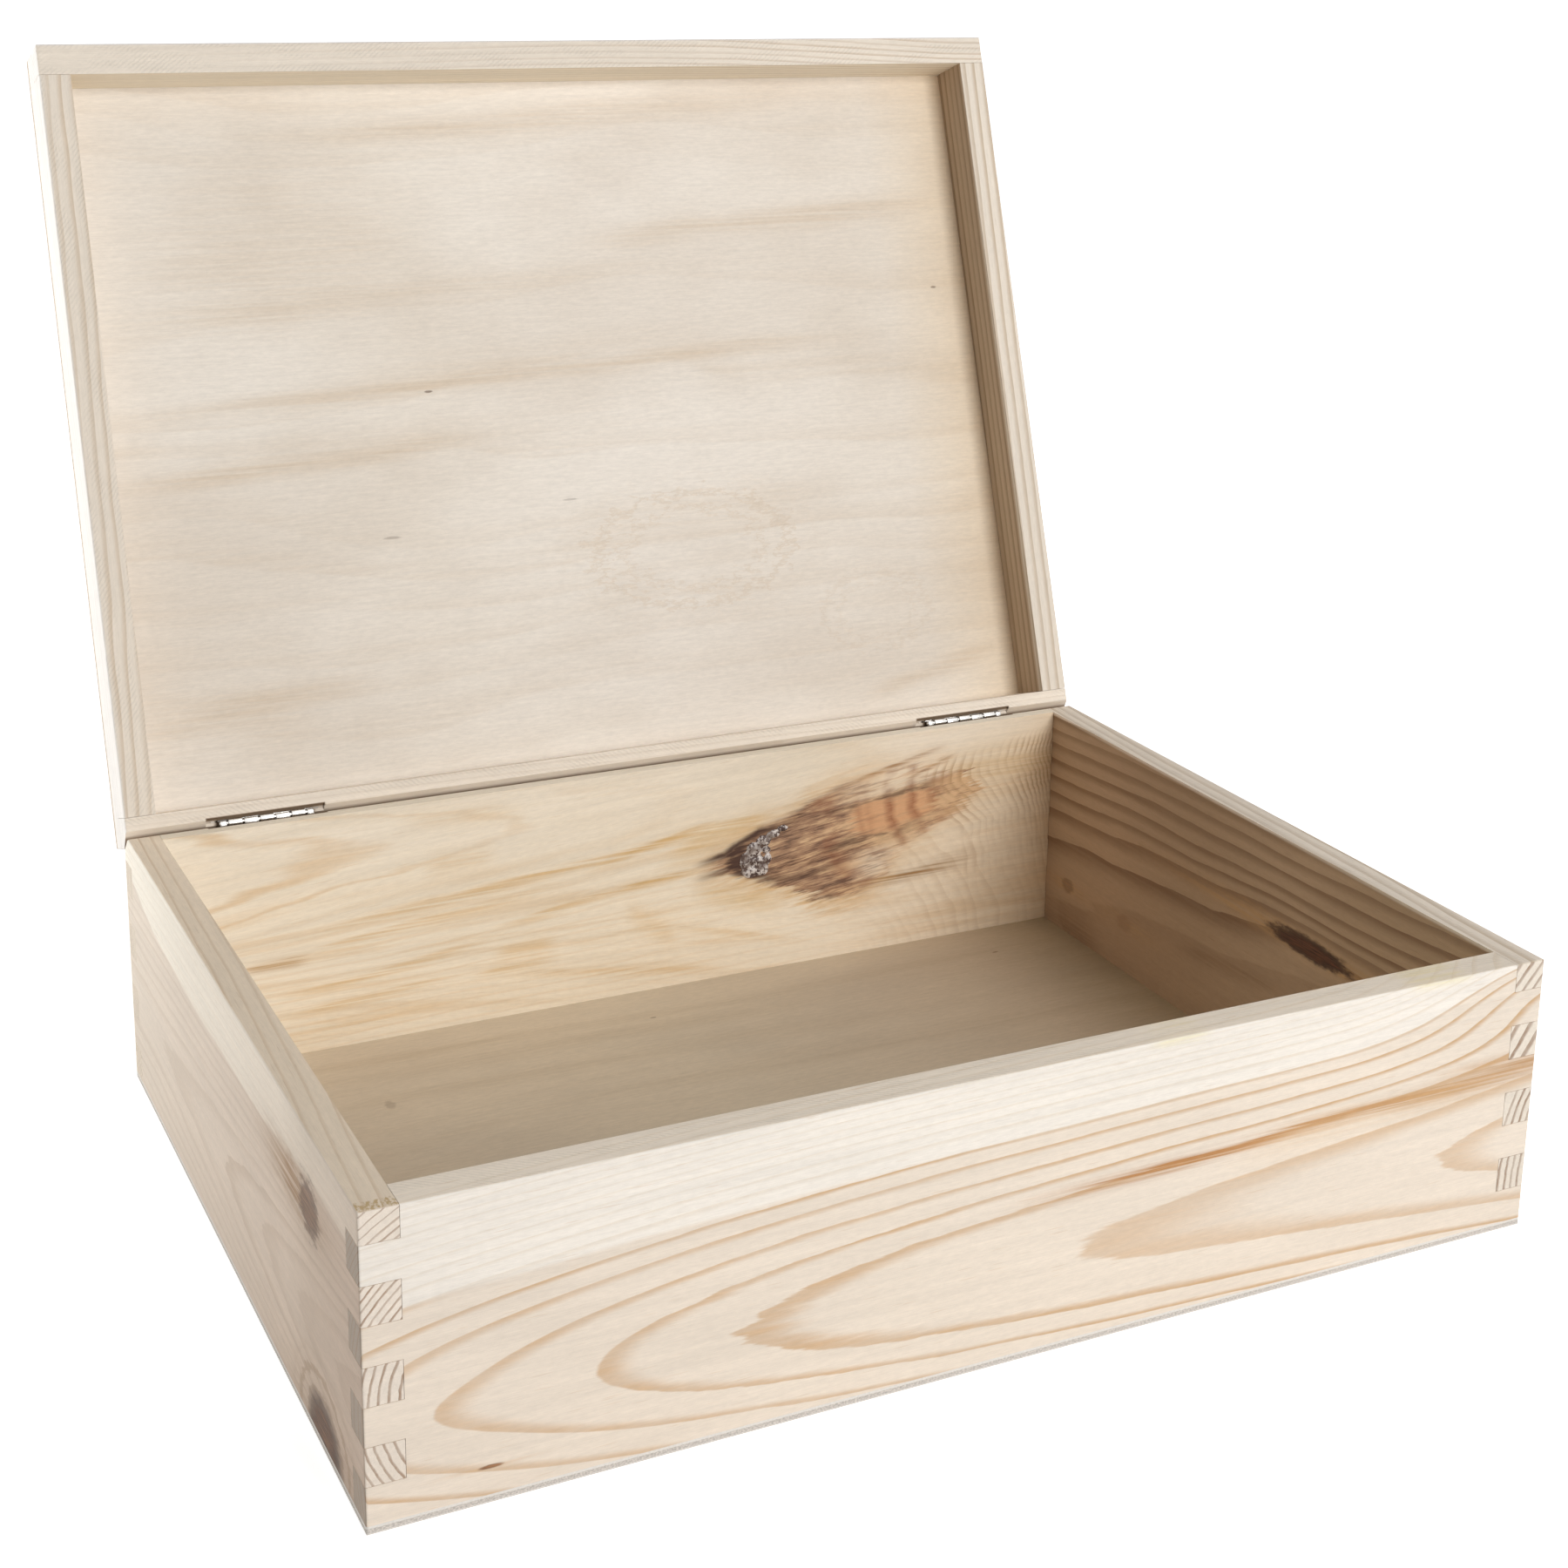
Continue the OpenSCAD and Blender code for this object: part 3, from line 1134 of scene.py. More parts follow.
class PlySkin(WoodSkin):
    """The skin of a thin plywood sheet, with its good face at inward 0."""

    def make(self, tones: PlyTones, streaks: tuple[Streak, ...], specks: tuple[Knot, ...]) -> Material:
        """Lays streaks and specks over the veneer, paints light and shade along it, and shows the layers at
        the edges.

        Args:
            tones: The sheet's colours.
            streaks: Soft darker streaks of the face veneer.
            specks: Small dark specks of the face veneer.

        Returns:
            The material.
        """
        g = self.g
        self.lay_fibre()
        level = g.noise(self.place, (0.0032, 0.010, 0)) * 90 + self.across
        ring = g.use(self.shop.ring, ring=level / 13, early=0.1, fall=0.9)
        depth = ring["Late"] * ring["Year"].step(0, 1, 0, 0.2) * self.fibre["Streak"].step(0.3, 0.7, 0.3, 1.1)
        for streak in streaks:
            depth = depth + self.use(self.shop.streak, streak)["Mask"] * streak.depth
        cloud = g.noise(self.place, (0.006, 0.011, 0), 3, 0.6)
        colour = g.mix(cloud.step(0.38, 0.66), tones.face, tones.grey)
        colour = g.mix(depth.least(1), colour, tones.streak)
        for speck in specks:
            mark = self.use(self.shop.knot, speck)
            colour = g.mix(mark["Ripple"] * speck.ripple, colour, tones.streak)
            colour = g.mix(mark["Core"] * speck.core, colour, tones.speck)
        vein = g.noise(self.place, (0.07, 0.8, 0.8), 4, 0.65)
        tint = vein.step(0.28, 0.72, 0.965, 1.028) * self.fibre["Fine"].step(0.2, 0.8, 0.97, 1.03)
        colour = g.shade(colour, tint * self.fibre["Fuzz"].step(0.25, 0.75, 0.945, 1.045))
        # Painted light and shade: the good face is tinted lighter or darker along the sheet.
        colour = g.mix(self.inward.step(1, 1.5, 1, 0), colour, self.along.ramp(tones.painted_light), "MULTIPLY")
        pore = g.noise(self.place, (1.6, 1.6, 2.4))
        core = g.shade(tones.core, pore.step(0.3, 0.7, 0.75, 1.2))
        veneer = g.shade(tones.edge, pore.step(0.3, 0.7, 0.94, 1.05))
        layer = self.inward.step(0.62, 0.74) * self.inward.step(1.76, 1.88, 1, 0)
        edge = self.where.facing(g, self.where.inward).step(0.75, 0.55)
        colour = g.mix(edge, colour, g.mix(layer, veneer, core))
        rough = depth.step(0, 1, 0.7, 0.6)
        return self.finish(colour, rough, self.fibre["Fine"] + vein, 0.15, Specular_IOR_Level=0.3)


class NickelSkin(Skin):
    """The skin of nickel-plated hinge steel, with painted shade where it goes into the kerf."""

    def make(self, tones: NickelTones) -> Material:
        """Wears and brushes the nickel, and paints shade where it goes into the kerf.

        Args:
            tones: The metal's colours.

        Returns:
            The material.
        """
        g = self.g
        place = self.metric()
        wear = g.noise(place, (0.5, 2, 2), 3)
        brush = g.noise(place, (9, 0.7, 0.7))
        colour = g.mix(wear.step(0.35, 0.7), tones.bright, tones.worn)
        _, y, z = g.split(place)
        # Painted shade: darker away from the barrel, where the leaves go into the kerf.
        gap = (y - Hinge.axis_y).hypot(z - Hinge.axis_z)
        colour = g.mix(gap.step(Hinge.barrel, Hinge.barrel + 0.35, 0, 0.9), colour, tones.kerf_shade)
        return self.finish(colour, (wear + brush).step(0.7, 1.3, 0.18, 0.36), brush, 0.08, Metallic=1)


class ResinSkin(Skin):
    """The skin of dried resin: a grey-white crust with dark pits."""

    def make(self, tones: ResinTones) -> Material:
        """Pits the crust and lays grime on it.

        Args:
            tones: The resin's colours.

        Returns:
            The material.
        """
        g = self.g
        place = self.metric()
        pit = g.noise(place, (0.75, 0.75, 0.75), 3, 0.65)
        grime = g.noise(place, (0.22, 0.22, 0.22))
        colour = g.mix(pit.step(0.44, 0.57), tones.pit, tones.crust)
        colour = g.mix(grime.step(0.5, 0.68, 0, 0.75), colour, tones.grime)
        return self.finish(colour, pit.step(0.3, 0.7, 0.65, 0.32), pit, 0.5)


FRONT_GRAIN = Grain(
    pith=28.4,
    depth=(338, -179.9, 66.9, -39.2),
    lines=(
        (4, 10.3, 17.6, 23.2, 26.5, 30.1, 33.9, 36.9, 40.4, 42.8)
        + (44.8, 46.7, 48.4, 50.1, 51.8, 53.4, 55, 56.6, 58.2)
    ),
    squeeze=0.86,
    sapwood=((-175, 40.7), (-125, 38.8), (-75, 37.5), (5, 36.6), (175, 36.6)),
    sap_above=26,
    early=((10.3, 0.5), (10.4, 0.56), (17.6, 0.56), (17.7, 0.72), (23.2, 0.72), (23.4, 0.66), (58, 0.66)),
    wobble=0.5,
    tear=1.6,
    calm=24.6,
    strength=(
        ((0, 0.6), (10.3, 0.6), (10.5, 0.8), (17.6, 0.8), (18, 0.8), (23.2, 0.85), (23.4, 0.8), (26.5, 0.85))
        + ((26.7, 1.2), (30.1, 1.2), (30.3, 0.9), (36.8, 0.9), (37.5, 0.7), (58, 0.6))
    ),
    fade=(0.85, 1.15),
    saw=4.2,
    swerves=(Swerve(184.2, 78.7, 29.9, 12.4, -14.7), Swerve(-156, 27, 13, 5, -0.7)),
    # Painted shade: the front face a little darker towards its left end.
    painted_light=((-175, (0.945, 0.94, 0.945)), (-30, (0.985, 0.985, 0.99)), (175, (1, 1, 1.01))),
    knots=(Knot(-144, 10.1, 3.4, 0.55, core=0.9, bark=0.3, stain=0.4, ragged=1),),
    streaks=(
        Streak(88, 48.7, 98, 0.03, 2.6, 1.3, (0.47, 0.225, 0.08)),
        Streak(160, 52.2, 44, 0.1, 3.6, 0.95, (0.52, 0.285, 0.12), 1),
        Streak(118, 47.6, 62, 0.05, 4.6, 0.45, (0.74, 0.51, 0.28), 1),
        Streak(50, 83.8, 12, 0, 1.4, 0.6, (0.86, 0.77, 0.50)),
        Streak(138, 83.8, 14, 0, 1.6, 0.6, (0.86, 0.77, 0.50)),
    ),
)
BACK_GRAIN = Grain(
    pith=71,
    depth=(484, 91, 0, 0),
    lines=(
        (8, 15, 18.2, 20.1, 20.95, 22.6, 24.4, 26.3, 27.7, 29, 30.3)
        + (31.5, 32.8, 34.2, 35.5, 36.8, 38.2, 39.6, 41, 43)
    ),
    squeeze=0.5,
    fall=0.84,
    wobble=2.4,
    tear=0.5,
    strength=((0, 0.6), (20.1, 0.7), (20.3, 0.5), (20.95, 0.5), (21.2, 0.3), (43, 0.35)),
    fade=(1, 0.3),
    fan=(-0.1, 0.09),
    bands=0.36,
    hinge=(84.65, 6),
    streaks=(
        # The first two streaks paint light along the top of the face, and the third paints shade along its
        # bottom.
        Streak(-60, 78, 150, 0.03, 15, 0.6, (0.965, 0.875, 0.745), 1),
        Streak(130, 80, 60, 0, 8, 0.7, (0.965, 0.89, 0.77), 1),
        Streak(-60, 14, 130, 0, 16, 0.3, (0.76, 0.60, 0.40), 1),
        Streak(-36, 52.5, 105, 0.11, 2.6, 0.7),
        Streak(-80, 42.5, 62, 0.12, 2.4, 0.55),
        Streak(-90, 28.5, 44, 0.13, 2.4, 0.55),
        Streak(-22, 40.5, 38, 0.14, 2.2, 0.6),
        Streak(-44, 26, 14, 0.05, 6, 0.55, soft=0.6),
        Streak(-48, 20.5, 18, 0.1, 2, 0.5),
        Streak(3, 26.5, 12, -0.7, 5, 0.45, soft=0.7),
        Streak(-9, 12, 54, -0.16, 2.2, 0.5),
        Streak(38, 17.5, 32, -0.26, 2, 0.4),
        Streak(-99, 18.5, 34, 0.077, 2.6, 0.55),
        Streak(-110, 9, 46, 0.03, 2.8, 0.4),
        Streak(-131, 36.2, 14, 0.03, 2.2, 1, (0.45, 0.245, 0.075)),
        Streak(-67, 62.5, 16, 0.1, 5, 0.4, soft=0.6),
        Streak(-66, 77.5, 26, -0.05, 3.5, 0.35, soft=0.6),
        Streak(4, 57, 28, 0.2, 1.8, 0.75),
        Streak(6, 44, 18, 0.1, 1.8, 0.8),
        Streak(36, 33, 22, -0.3, 6, 0.6, (0.66, 0.43, 0.16), 0.8),
        Streak(28, 56, 26, 0.3, 5, 0.6, (0.66, 0.43, 0.16), 0.8),
        Streak(146, 65.5, 36, 0.12, 9, 0.62, (0.60, 0.41, 0.19), 1),
        Streak(103, 30.8, 38, 0.05, 2.8, 1, (0.36, 0.205, 0.085), 0.6),
        # Painted shadow of the right wall, low on the face near its right end.
        Streak(150, 35, 42, 0, 26, 0.3, (0.62, 0.44, 0.26), 1),
        Streak(97, 72.5, 26, 0.23, 1.5, 0.85, (0.40, 0.23, 0.12), 0.4),
        Streak(112, 69.5, 14, 0.36, 1.2, 0.7, (0.42, 0.26, 0.14), 0.4),
    ),
    # Painted light and shade: lighter towards the left, darker at the right end in the right wall's shadow.
    painted_light=(
        (-165, (1.06, 1.07, 1.08)),
        (-40, (1.05, 1.05, 1.05)),
        (60, (1.03, 1.02, 1.01)),
        (112, (1.04, 1, 0.96)),
        (142, (1.03, 0.985, 0.93)),
        (165, (0.98, 0.90, 0.81)),
    ),
    spike=Spike(23, 46.5, math.radians(8), 62, -10),
)
LEFT_GRAIN = Grain(
    pith=32,
    depth=(1895, 331, -96.5, -14.4),
    lines=(
        (4, 8, 12, 15.5, 19, 22.2, 25.2, 28, 30.7, 33.2, 35.6, 37.8, 39.9, 41.9, 43.8)
        + (45.6, 47.3, 49, 50.7, 52.5, 54.4, 56.4, 58.6, 60.9, 63.3, 65.7, 68.1, 70.5)
    ),
    sapwood=(
        ((-130, 54.6), (-90, 56.2), (-70, 55), (-40, 54.2), (10, 55.3))
        + ((50, 55.6), (90, 57.3), (120, 61.4), (130, 62.3))
    ),
    sap_above=35,
    early=((0, 0.45), (56, 0.45), (57, 0.7)),
    wobble=1.6,
    tear=0.9,
    strength=(
        ((0, 0.3), (39.9, 0.3), (40.1, 0.5), (43.8, 0.5), (44, 0.32))
        + ((45.6, 0.32), (46, 0.26), (52, 0.3), (70, 0.3))
    ),
    half=130,
    rim=3,
    torn=127.5,
    knots=(
        Knot(-87, 63.5, 8.4, 7.4, core=0.75, bark=0.35, stain=1, flow=1.6, ragged=1.8),
        Knot(-95, 4, 14, 10.5, core=0.97, bark=0.5, stain=0.35, ripple=0.85, ragged=0.5),
    ),
    # Painted light and shade, with some darker heartwood at the front: the outer face darker towards the
    # front, lighter towards the back.
    painted_light=(
        (-130, (0.82, 0.76, 0.725)),
        (-88, (0.84, 0.80, 0.765)),
        (-62, (0.965, 0.94, 0.92)),
        (-20, (0.99, 0.98, 0.97)),
        (130, (1.10, 1.14, 1.16)),
    ),
)
RIGHT_GRAIN = Grain(
    pith=8,
    depth=(8705, 627, 0, 0),
    lines=(
        (79.5, 82, 84.5, 87, 89.6, 92.2, 97.2, 101, 105.2, 107.8, 110.7)
        + (114.2, 117.5, 120.5, 123.1, 125.7, 128.3, 131, 134)
    ),
    early=held(0.32),
    wobble=2.8,
    tear=0.9,
    strength=((79, 1), (92.2, 1), (92.6, 0.3), (97.2, 0.3), (97.6, 1), (134, 1)),
    half=130,
    saw=-4.2,
    # edge and shell keep the top edge and the outer face in the pale sap tone, away from the painted shade of
    # the inner face.
    edge=83.6,
    shell=-8.6,
    swerves=(Swerve(-38, 52, 26, 7, -2.4), Swerve(-60, 70, 40, 12, 1.6)),
    knots=(
        Knot(-37.5, 52.4, 20, 3.5, core=1, bark=0.65, stain=0.8, ragged=1.1),
        Knot(67, 20.5, 5, 3, core=0.15, bark=0, stain=0.3),
        Knot(105, 20.9, 4, 2.6, core=0.35, bark=0.1, stain=0.4),
    ),
    streaks=(
        Streak(104, 6.5, 28, 0.05, 7, 0.5, (0.24, 0.135, 0.07), 0.8),
        Streak(4, 28.5, 36, -0.13, 2.8, 0.45, (0.24, 0.14, 0.07), 0.8),
    ),
    # Painted light and shade: the inner face darker towards the front, lighter towards the back.
    painted_light=(
        (-130, (0.78, 0.765, 0.68)),
        (-60, (0.91, 0.89, 0.84)),
        (-30, (1, 0.99, 0.97)),
        (20, (0.95, 0.93, 0.92)),
        (75, (1.11, 1.10, 1.14)),
        (130, (1.12, 1.13, 1.18)),
    ),
)
RAIL_GRAIN = Grain(
    pith=-25,
    depth=(625, 90, 0, 0),
    lines=tuple(30 + 1.7 * index for index in range(20)),
    early=held(0.45),
    saw=4.2,
    shell=0.4,
)
FRONT_RAIL_GRAIN = replace(RAIL_GRAIN, fade=(0.1, 1.4), swerves=(Swerve(185, 5, 70, 80, -8),))
LEFT_RAIL_GRAIN = replace(
    RAIL_GRAIN, lines=tuple(30 + 2.9 * index for index in range(12)), wobble=5, half=130, rim=1.2
)
BACK_RAIL_GRAIN = replace(RAIL_GRAIN, strength=held(0.25), hinge=(-0.15, 4))
# Grain of the lid's right rail; its tones paint shade on it.
SHADED_RAIL_GRAIN = Grain(
    pith=60,
    depth=(3600, 120, 0, 0),
    lines=tuple(58 + 2.6 * index for index in range(14)),
    sapwood=held(77),
    early=held(0.4),
    strength=held(0.9),
    half=130,
    # Painted light and shade along the lid's right rail.
    painted_light=(
        (-130, (0.92, 0.91, 0.91)),
        (-75, (0.88, 0.875, 0.87)),
        (0, (0.96, 0.97, 0.98)),
        (60, (1.035, 1.05, 1.06)),
        (130, (0.93, 0.91, 0.90)),
    ),
)
FRONT_TONES = PineTones(
    heart=(0.825, 0.72, 0.60),
    end=(0.38, 0.31, 0.245),
    rim=(1, 0.95, 0.89),
    knot=(0.36, 0.16, 0.06),
    bark=(0.14, 0.055, 0.025),
)
BACK_TONES = PineTones(heart=(0.885, 0.785, 0.63), late=(0.69, 0.47, 0.24), end=(0.78, 0.685, 0.56))
LEFT_TONES = PineTones(
    heart=(0.70, 0.59, 0.485),
    sap=(0.83, 0.745, 0.63),
    late=(0.46, 0.34, 0.24),
    late_sap=(0.66, 0.54, 0.41),
    end=(0.80, 0.705, 0.605),
    end_line=(0.35, 0.235, 0.16),
    stain=(0.33, 0.2, 0.1),
    rim=(0.95, 0.89, 0.82),
)
# The dark heart, late, knot and bark tones are painted shade on the inner face; the board's own tone is the
# pale sap.
RIGHT_TONES = PineTones(
    heart=(0.515, 0.365, 0.235),
    sap=(0.87, 0.765, 0.645),
    late=(0.26, 0.155, 0.085),
    late_sap=(0.60, 0.48, 0.35),
    knot=(0.19, 0.075, 0.036),
    bark=(0.03, 0.013, 0.009),
)
RAIL_TONES = PineTones(
    heart=(0.81, 0.72, 0.61),
    sap=(0.89, 0.85, 0.80),
    late=(0.58, 0.45, 0.32),
    late_sap=(0.82, 0.76, 0.69),
    end=(0.88, 0.84, 0.79),
    end_line=(0.78, 0.72, 0.65),
)
FRONT_RAIL_TONES = replace(
    RAIL_TONES, heart=(0.91, 0.81, 0.65), late=(0.65, 0.50, 0.345), rim=(0.89, 0.89, 0.94)
)
BACK_RAIL_TONES = replace(RAIL_TONES, heart=(0.88, 0.78, 0.66))
# Darker tones that paint shade on the lid's right rail.
SHADED_RAIL_TONES = PineTones(
    heart=(0.57, 0.43, 0.295), sap=(0.81, 0.72, 0.61), late=(0.33, 0.22, 0.135), late_sap=(0.52, 0.40, 0.28)
)
BASE_TONES = PlyTones(
    # The face, streak and grey tones are darker partly for the veneer's own tone and partly as painted shade
    # on the floor of the box.
    face=(0.655, 0.55, 0.42),
    streak=(0.49, 0.385, 0.27),
    grey=(0.58, 0.49, 0.38),
    core=(0.60, 0.55, 0.5),
    edge=(0.76, 0.72, 0.67),
    # Painted shade: the floor of the box darker towards the right wall.
    painted_light=(
        (-165, (1.13, 1.13, 1.12)),
        (0, (1.08, 1.08, 1.06)),
        (70, (1, 0.97, 0.93)),
        (130, (0.85, 0.78, 0.7)),
        (165, (0.74, 0.67, 0.54)),
    ),
)
LID_TONES = PlyTones(
    face=(0.86, 0.785, 0.69),
    streak=(0.64, 0.49, 0.335),
    grey=(0.775, 0.69, 0.59),
    # Painted light and shade: lighter in the middle, with the right rail's painted shadow along the right
    # edge.
    painted_light=(
        (-165, (0.985, 0.995, 1.01)),
        (-60, (1, 1, 1)),
        (20, (1.04, 1.05, 1.07)),
        (100, (0.985, 0.98, 0.98)),
        (130, (0.97, 0.96, 0.95)),
        (160, (0.98, 0.905, 0.79)),
        (166, (0.98, 0.85, 0.67)),
    ),
)
LID_STREAKS = (
    Streak(-101, 9.5, 78, -0.075, 3.4, 0.6, soft=1),
    Streak(-18, -15.5, 165, -0.052, 2.8, 0.55, soft=1),
    Streak(84, -66, 92, -0.063, 4, 0.55, soft=1),
    Streak(3, -106.5, 125, -0.058, 4.5, 0.45, soft=1),
    Streak(-120, 89, 45, -0.057, 4, 0.4, soft=1),
    Streak(130, 107, 35, -0.2, 3, 0.45, soft=1),
    Streak(-60, -45, 110, -0.06, 5, 0.25, soft=1),
    Streak(40, 40, 70, -0.05, 7, 0.2, soft=1),
    Streak(-102, -62, 62, -0.1, 20, 0.3, soft=1),
    Streak(-138, 96, 40, 0.1, 16, 0.25, soft=1),
)
BASE_STREAKS = (
    Streak(-70, 104, 110, -0.03, 3, 0.5, soft=1),
    Streak(-40, 92, 120, -0.04, 3.5, 0.4, soft=1),
    Streak(60, 100, 100, 0.02, 2.5, 0.45, soft=1),
    Streak(-20, 74, 130, -0.03, 4, 0.3, soft=1),
    Streak(50, 50, 120, -0.04, 4.5, 0.3, soft=1),
)
LID_SPECKS = (
    Knot(-53, -11.4, 1.6, 0.5, core=0.7),
    Knot(-6, 30.4, 2.8, 0.35, core=0.3),
    Knot(-72, 38, 3.4, 0.5, core=0.35),
    Knot(151, -38, 1.2, 0.5, core=0.6),
    Knot(39, 52, 24, 13, core=0, ripple=0.34),
    Knot(109, 82, 14, 9, core=0, ripple=0.2),
)
BASE_SPECKS = (
    Knot(-5.6, 98.4, 1.2, 0.5, core=0.5),
    Knot(131, 99, 1.2, 0.5, core=0.5),
    Knot(-107, 73, 1.8, 3.2, core=0.28),
)


def swing(size: int) -> Matrix:
    """Returns the turn that opens the shut lid, as a matrix of 3 or 4 rows."""
    joint = frame["joints"][0]
    return Matrix.Rotation(math.radians(-joint["range_deg"][1]), size, Vector(joint["axis"]))


def opened(shut: GrainFrame) -> GrainFrame:
    """Swings a frame of the shut lid open about the hinge.

    Args:
        shut: Axes on the shut lid, in millimetres.

    Returns:
        The same axes on the lid as it stands open.
    """
    pivot = Vector(frame["joints"][0]["pos_m"]) * METRE
    turn = swing(3)
    axes = (turn @ axis for axis in (shut.along, shut.across, shut.inward))
    return GrainFrame(turn @ (shut.origin - pivot) + pivot, *axes)


def dress(slot: Slot, node: str, material: Material) -> None:
    """Gives a CAD node its material.

    Args:
        slot: The record's slot of the finish.
        node: The CAD node's name.
        material: The material.
    """
    piece: Object = frame["nodes"][node]
    piece.data.materials.clear()
    piece.data.materials.append(material)
    LOG.info("%s: %s in slot %s", node, material.name, slot.value)


def seat(piece: Object, body: Body, slot: Slot, material: Material, *nodes: str) -> None:
    """Settles a new piece: its place goes into its mesh, and it takes its body and material.

    Args:
        piece: The piece.
        body: The body it rides on.
        slot: The record's slot of its finish; not used.
        material: Its material.
        nodes: The CAD nodes it stands for.
    """
    select(piece)
    bpy.ops.object.transform_apply(location=True, rotation=True, scale=True)
    piece.data.materials.clear()
    piece.data.materials.append(material)
    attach(piece, body.value)
    if nodes:
        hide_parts(*nodes)
    LOG.info("%s: %d faces on %s", piece.name, len(piece.data.polygons), body.value)


def select(*pieces: Object) -> None:
    """Selects these objects alone and makes the first one active.

    Args:
        pieces: The objects.
    """
    bpy.ops.object.select_all(action="DESELECT")
    for piece in pieces:
        piece.select_set(True)
    bpy.context.view_layer.objects.active = pieces[0]


def weld(name: str, *parts: Object) -> Object:
    """Joins parts to one piece.

    Args:
        name: The piece's name.
        parts: What it is made of.

    Returns:
        The piece.
    """
    select(*parts)
    bpy.ops.object.join()
    made = bpy.context.object
    made.name = name
    return made


def duplicate(model: Object, name: str) -> Object:
    """Copies a model, with a mesh of its own.

    Args:
        model: What is copied.
        name: The copy's name.

    Returns:
        The copy.
    """
    made = model.copy()
    made.data = model.data.copy()
    made.name = name
    bpy.context.scene.collection.objects.link(made)
    return made


def apply(piece: Object, kind: str, **settings: object) -> None:
    """Adds a modifier to a piece and applies it.

    Args:
        piece: The piece.
        kind: The modifier's type.
        settings: Its properties.
    """
    select(piece)
    made = piece.modifiers.new(kind.lower(), kind)
    for name, value in settings.items():
        setattr(made, name, value)
    bpy.ops.object.modifier_apply(modifier=made.name)


def pick(piece: Object, kind: str, test: Callable[[object], bool]) -> None:
    """Selects the faces or edges of a piece in edit mode that pass a test.

    Args:
        piece: The piece, in edit mode.
        kind: FACE or EDGE.
        test: Takes a face or an edge, and says yes or no.
    """
    bpy.ops.mesh.select_mode(type=kind)
    bpy.ops.mesh.select_all(action="DESELECT")
    net = bmesh.from_edit_mesh(piece.data)
    for item in net.faces if kind == "FACE" else net.edges:
        item.select_set(test(item))
    if kind == "FACE":
        net.select_flush_mode()
    bmesh.update_edit_mesh(piece.data)


@dataclass
class LowerBox:
    """The lower box: four finger-jointed boards on a plywood base, with resin on the back board."""

    width: float = 350
    depth: float = 260
    board: float = 10
    base: float = 2.5
    crust_voxel: float = 0.4
    crust_rise: float = 0.75
    crust_grain: float = 1.6
    crust_swell: float = 0.9
    crust_sunk: float = 0.3
    crust_lumps: tuple[tuple[float, float, float, float], ...] = (
        (53.4, 55.4, 2.2, 1.1),
        (49.8, 53.8, 2.8, 1.6),
        (46, 51.8, 3, 2.2),
        (42.2, 49, 3.2, 3),
        (39.4, 45, 2.8, 3.6),
        (43.4, 44.6, 2.6, 2.6),
        (40.6, 41.2, 3.4, 2.8),
        (44.8, 41, 3.2, 2.4),
        (47.6, 44.6, 1.6, 2.2),
        (47, 48.2, 1.6, 1.4),
    )

    def build(self, shop: WoodShop) -> None:
        """Dresses the boards and adds the resin.

        Args:
            shop: Has the node groups.
        """
        half = self.depth / 2
        side = self.width / 2
        inner = half - self.board
        boards = {
            "front_wall": (GrainFrame(-half * BACK, RIGHT, UP, BACK), FRONT_GRAIN, FRONT_TONES),
            "back_wall": (GrainFrame(inner * BACK, RIGHT, UP, BACK), BACK_GRAIN, BACK_TONES),
            "left_wall": (GrainFrame(-side * RIGHT, BACK, UP, -RIGHT), LEFT_GRAIN, LEFT_TONES),
            "right_wall": (
                GrainFrame((side - self.board) * RIGHT, BACK, UP, -RIGHT),
                RIGHT_GRAIN,
                RIGHT_TONES,
            ),
        }
        for node, (where, grain, tones) in boards.items():
            dress(Slot.PINE, node, PineSkin(shop, f"pine_{node}", where).make(grain, tones))
        floor = PlySkin(shop, "ply_base", GrainFrame(self.base * UP, RIGHT, BACK, -UP))
        dress(Slot.PLYWOOD, "base_sheet", floor.make(BASE_TONES, BASE_STREAKS, BASE_SPECKS))
        self.add_resin(inner)

    def add_resin(self, face: float) -> None:
        """Models the dried resin that stands on the tip of the spike knot.

        Args:
            face: Where the back board's inner face lies.
        """
        lumps = []
        for along, height, reach, rise in self.crust_lumps:
            bpy.ops.object.select_all(action="DESELECT")
            bpy.ops.mesh.primitive_ico_sphere_add(subdivisions=3, radius=1)
            lump = bpy.context.object
            lump.location = Vector((along, face, height)) * MM
            lump.scale = Vector((reach, self.crust_rise, rise)) * MM
            lumps.append(lump)
        crust = weld("resin_crust", *lumps)
        bpy.ops.object.transform_apply(location=True, rotation=True, scale=True)
        apply(crust, "REMESH", mode="VOXEL", voxel_size=self.crust_voxel * MM)
        rough = bpy.data.textures.new("resin_lumps", "CLOUDS")
        rough.noise_scale = self.crust_grain * MM
        rough.noise_depth = 3
        swell = self.crust_swell * MM
        apply(crust, "DISPLACE", texture=rough, strength=swell, mid_level=0.45, texture_coords="LOCAL")
        apply(crust, "SMOOTH", factor=0.4, iterations=1)
        bpy.ops.object.mode_set(mode="EDIT")
        bpy.ops.mesh.select_all(action="SELECT")
        cut = {"plane_co": (face + self.crust_sunk) * MM * BACK, "plane_no": BACK}
        bpy.ops.mesh.bisect(**cut, clear_outer=True, use_fill=True)
        bpy.ops.object.mode_set(mode="OBJECT")
        bpy.ops.object.shade_smooth_by_angle(angle=math.radians(50))
        seat(crust, Body.BOX, Slot.PINE, ResinSkin("resin_crust").make(ResinTones()))


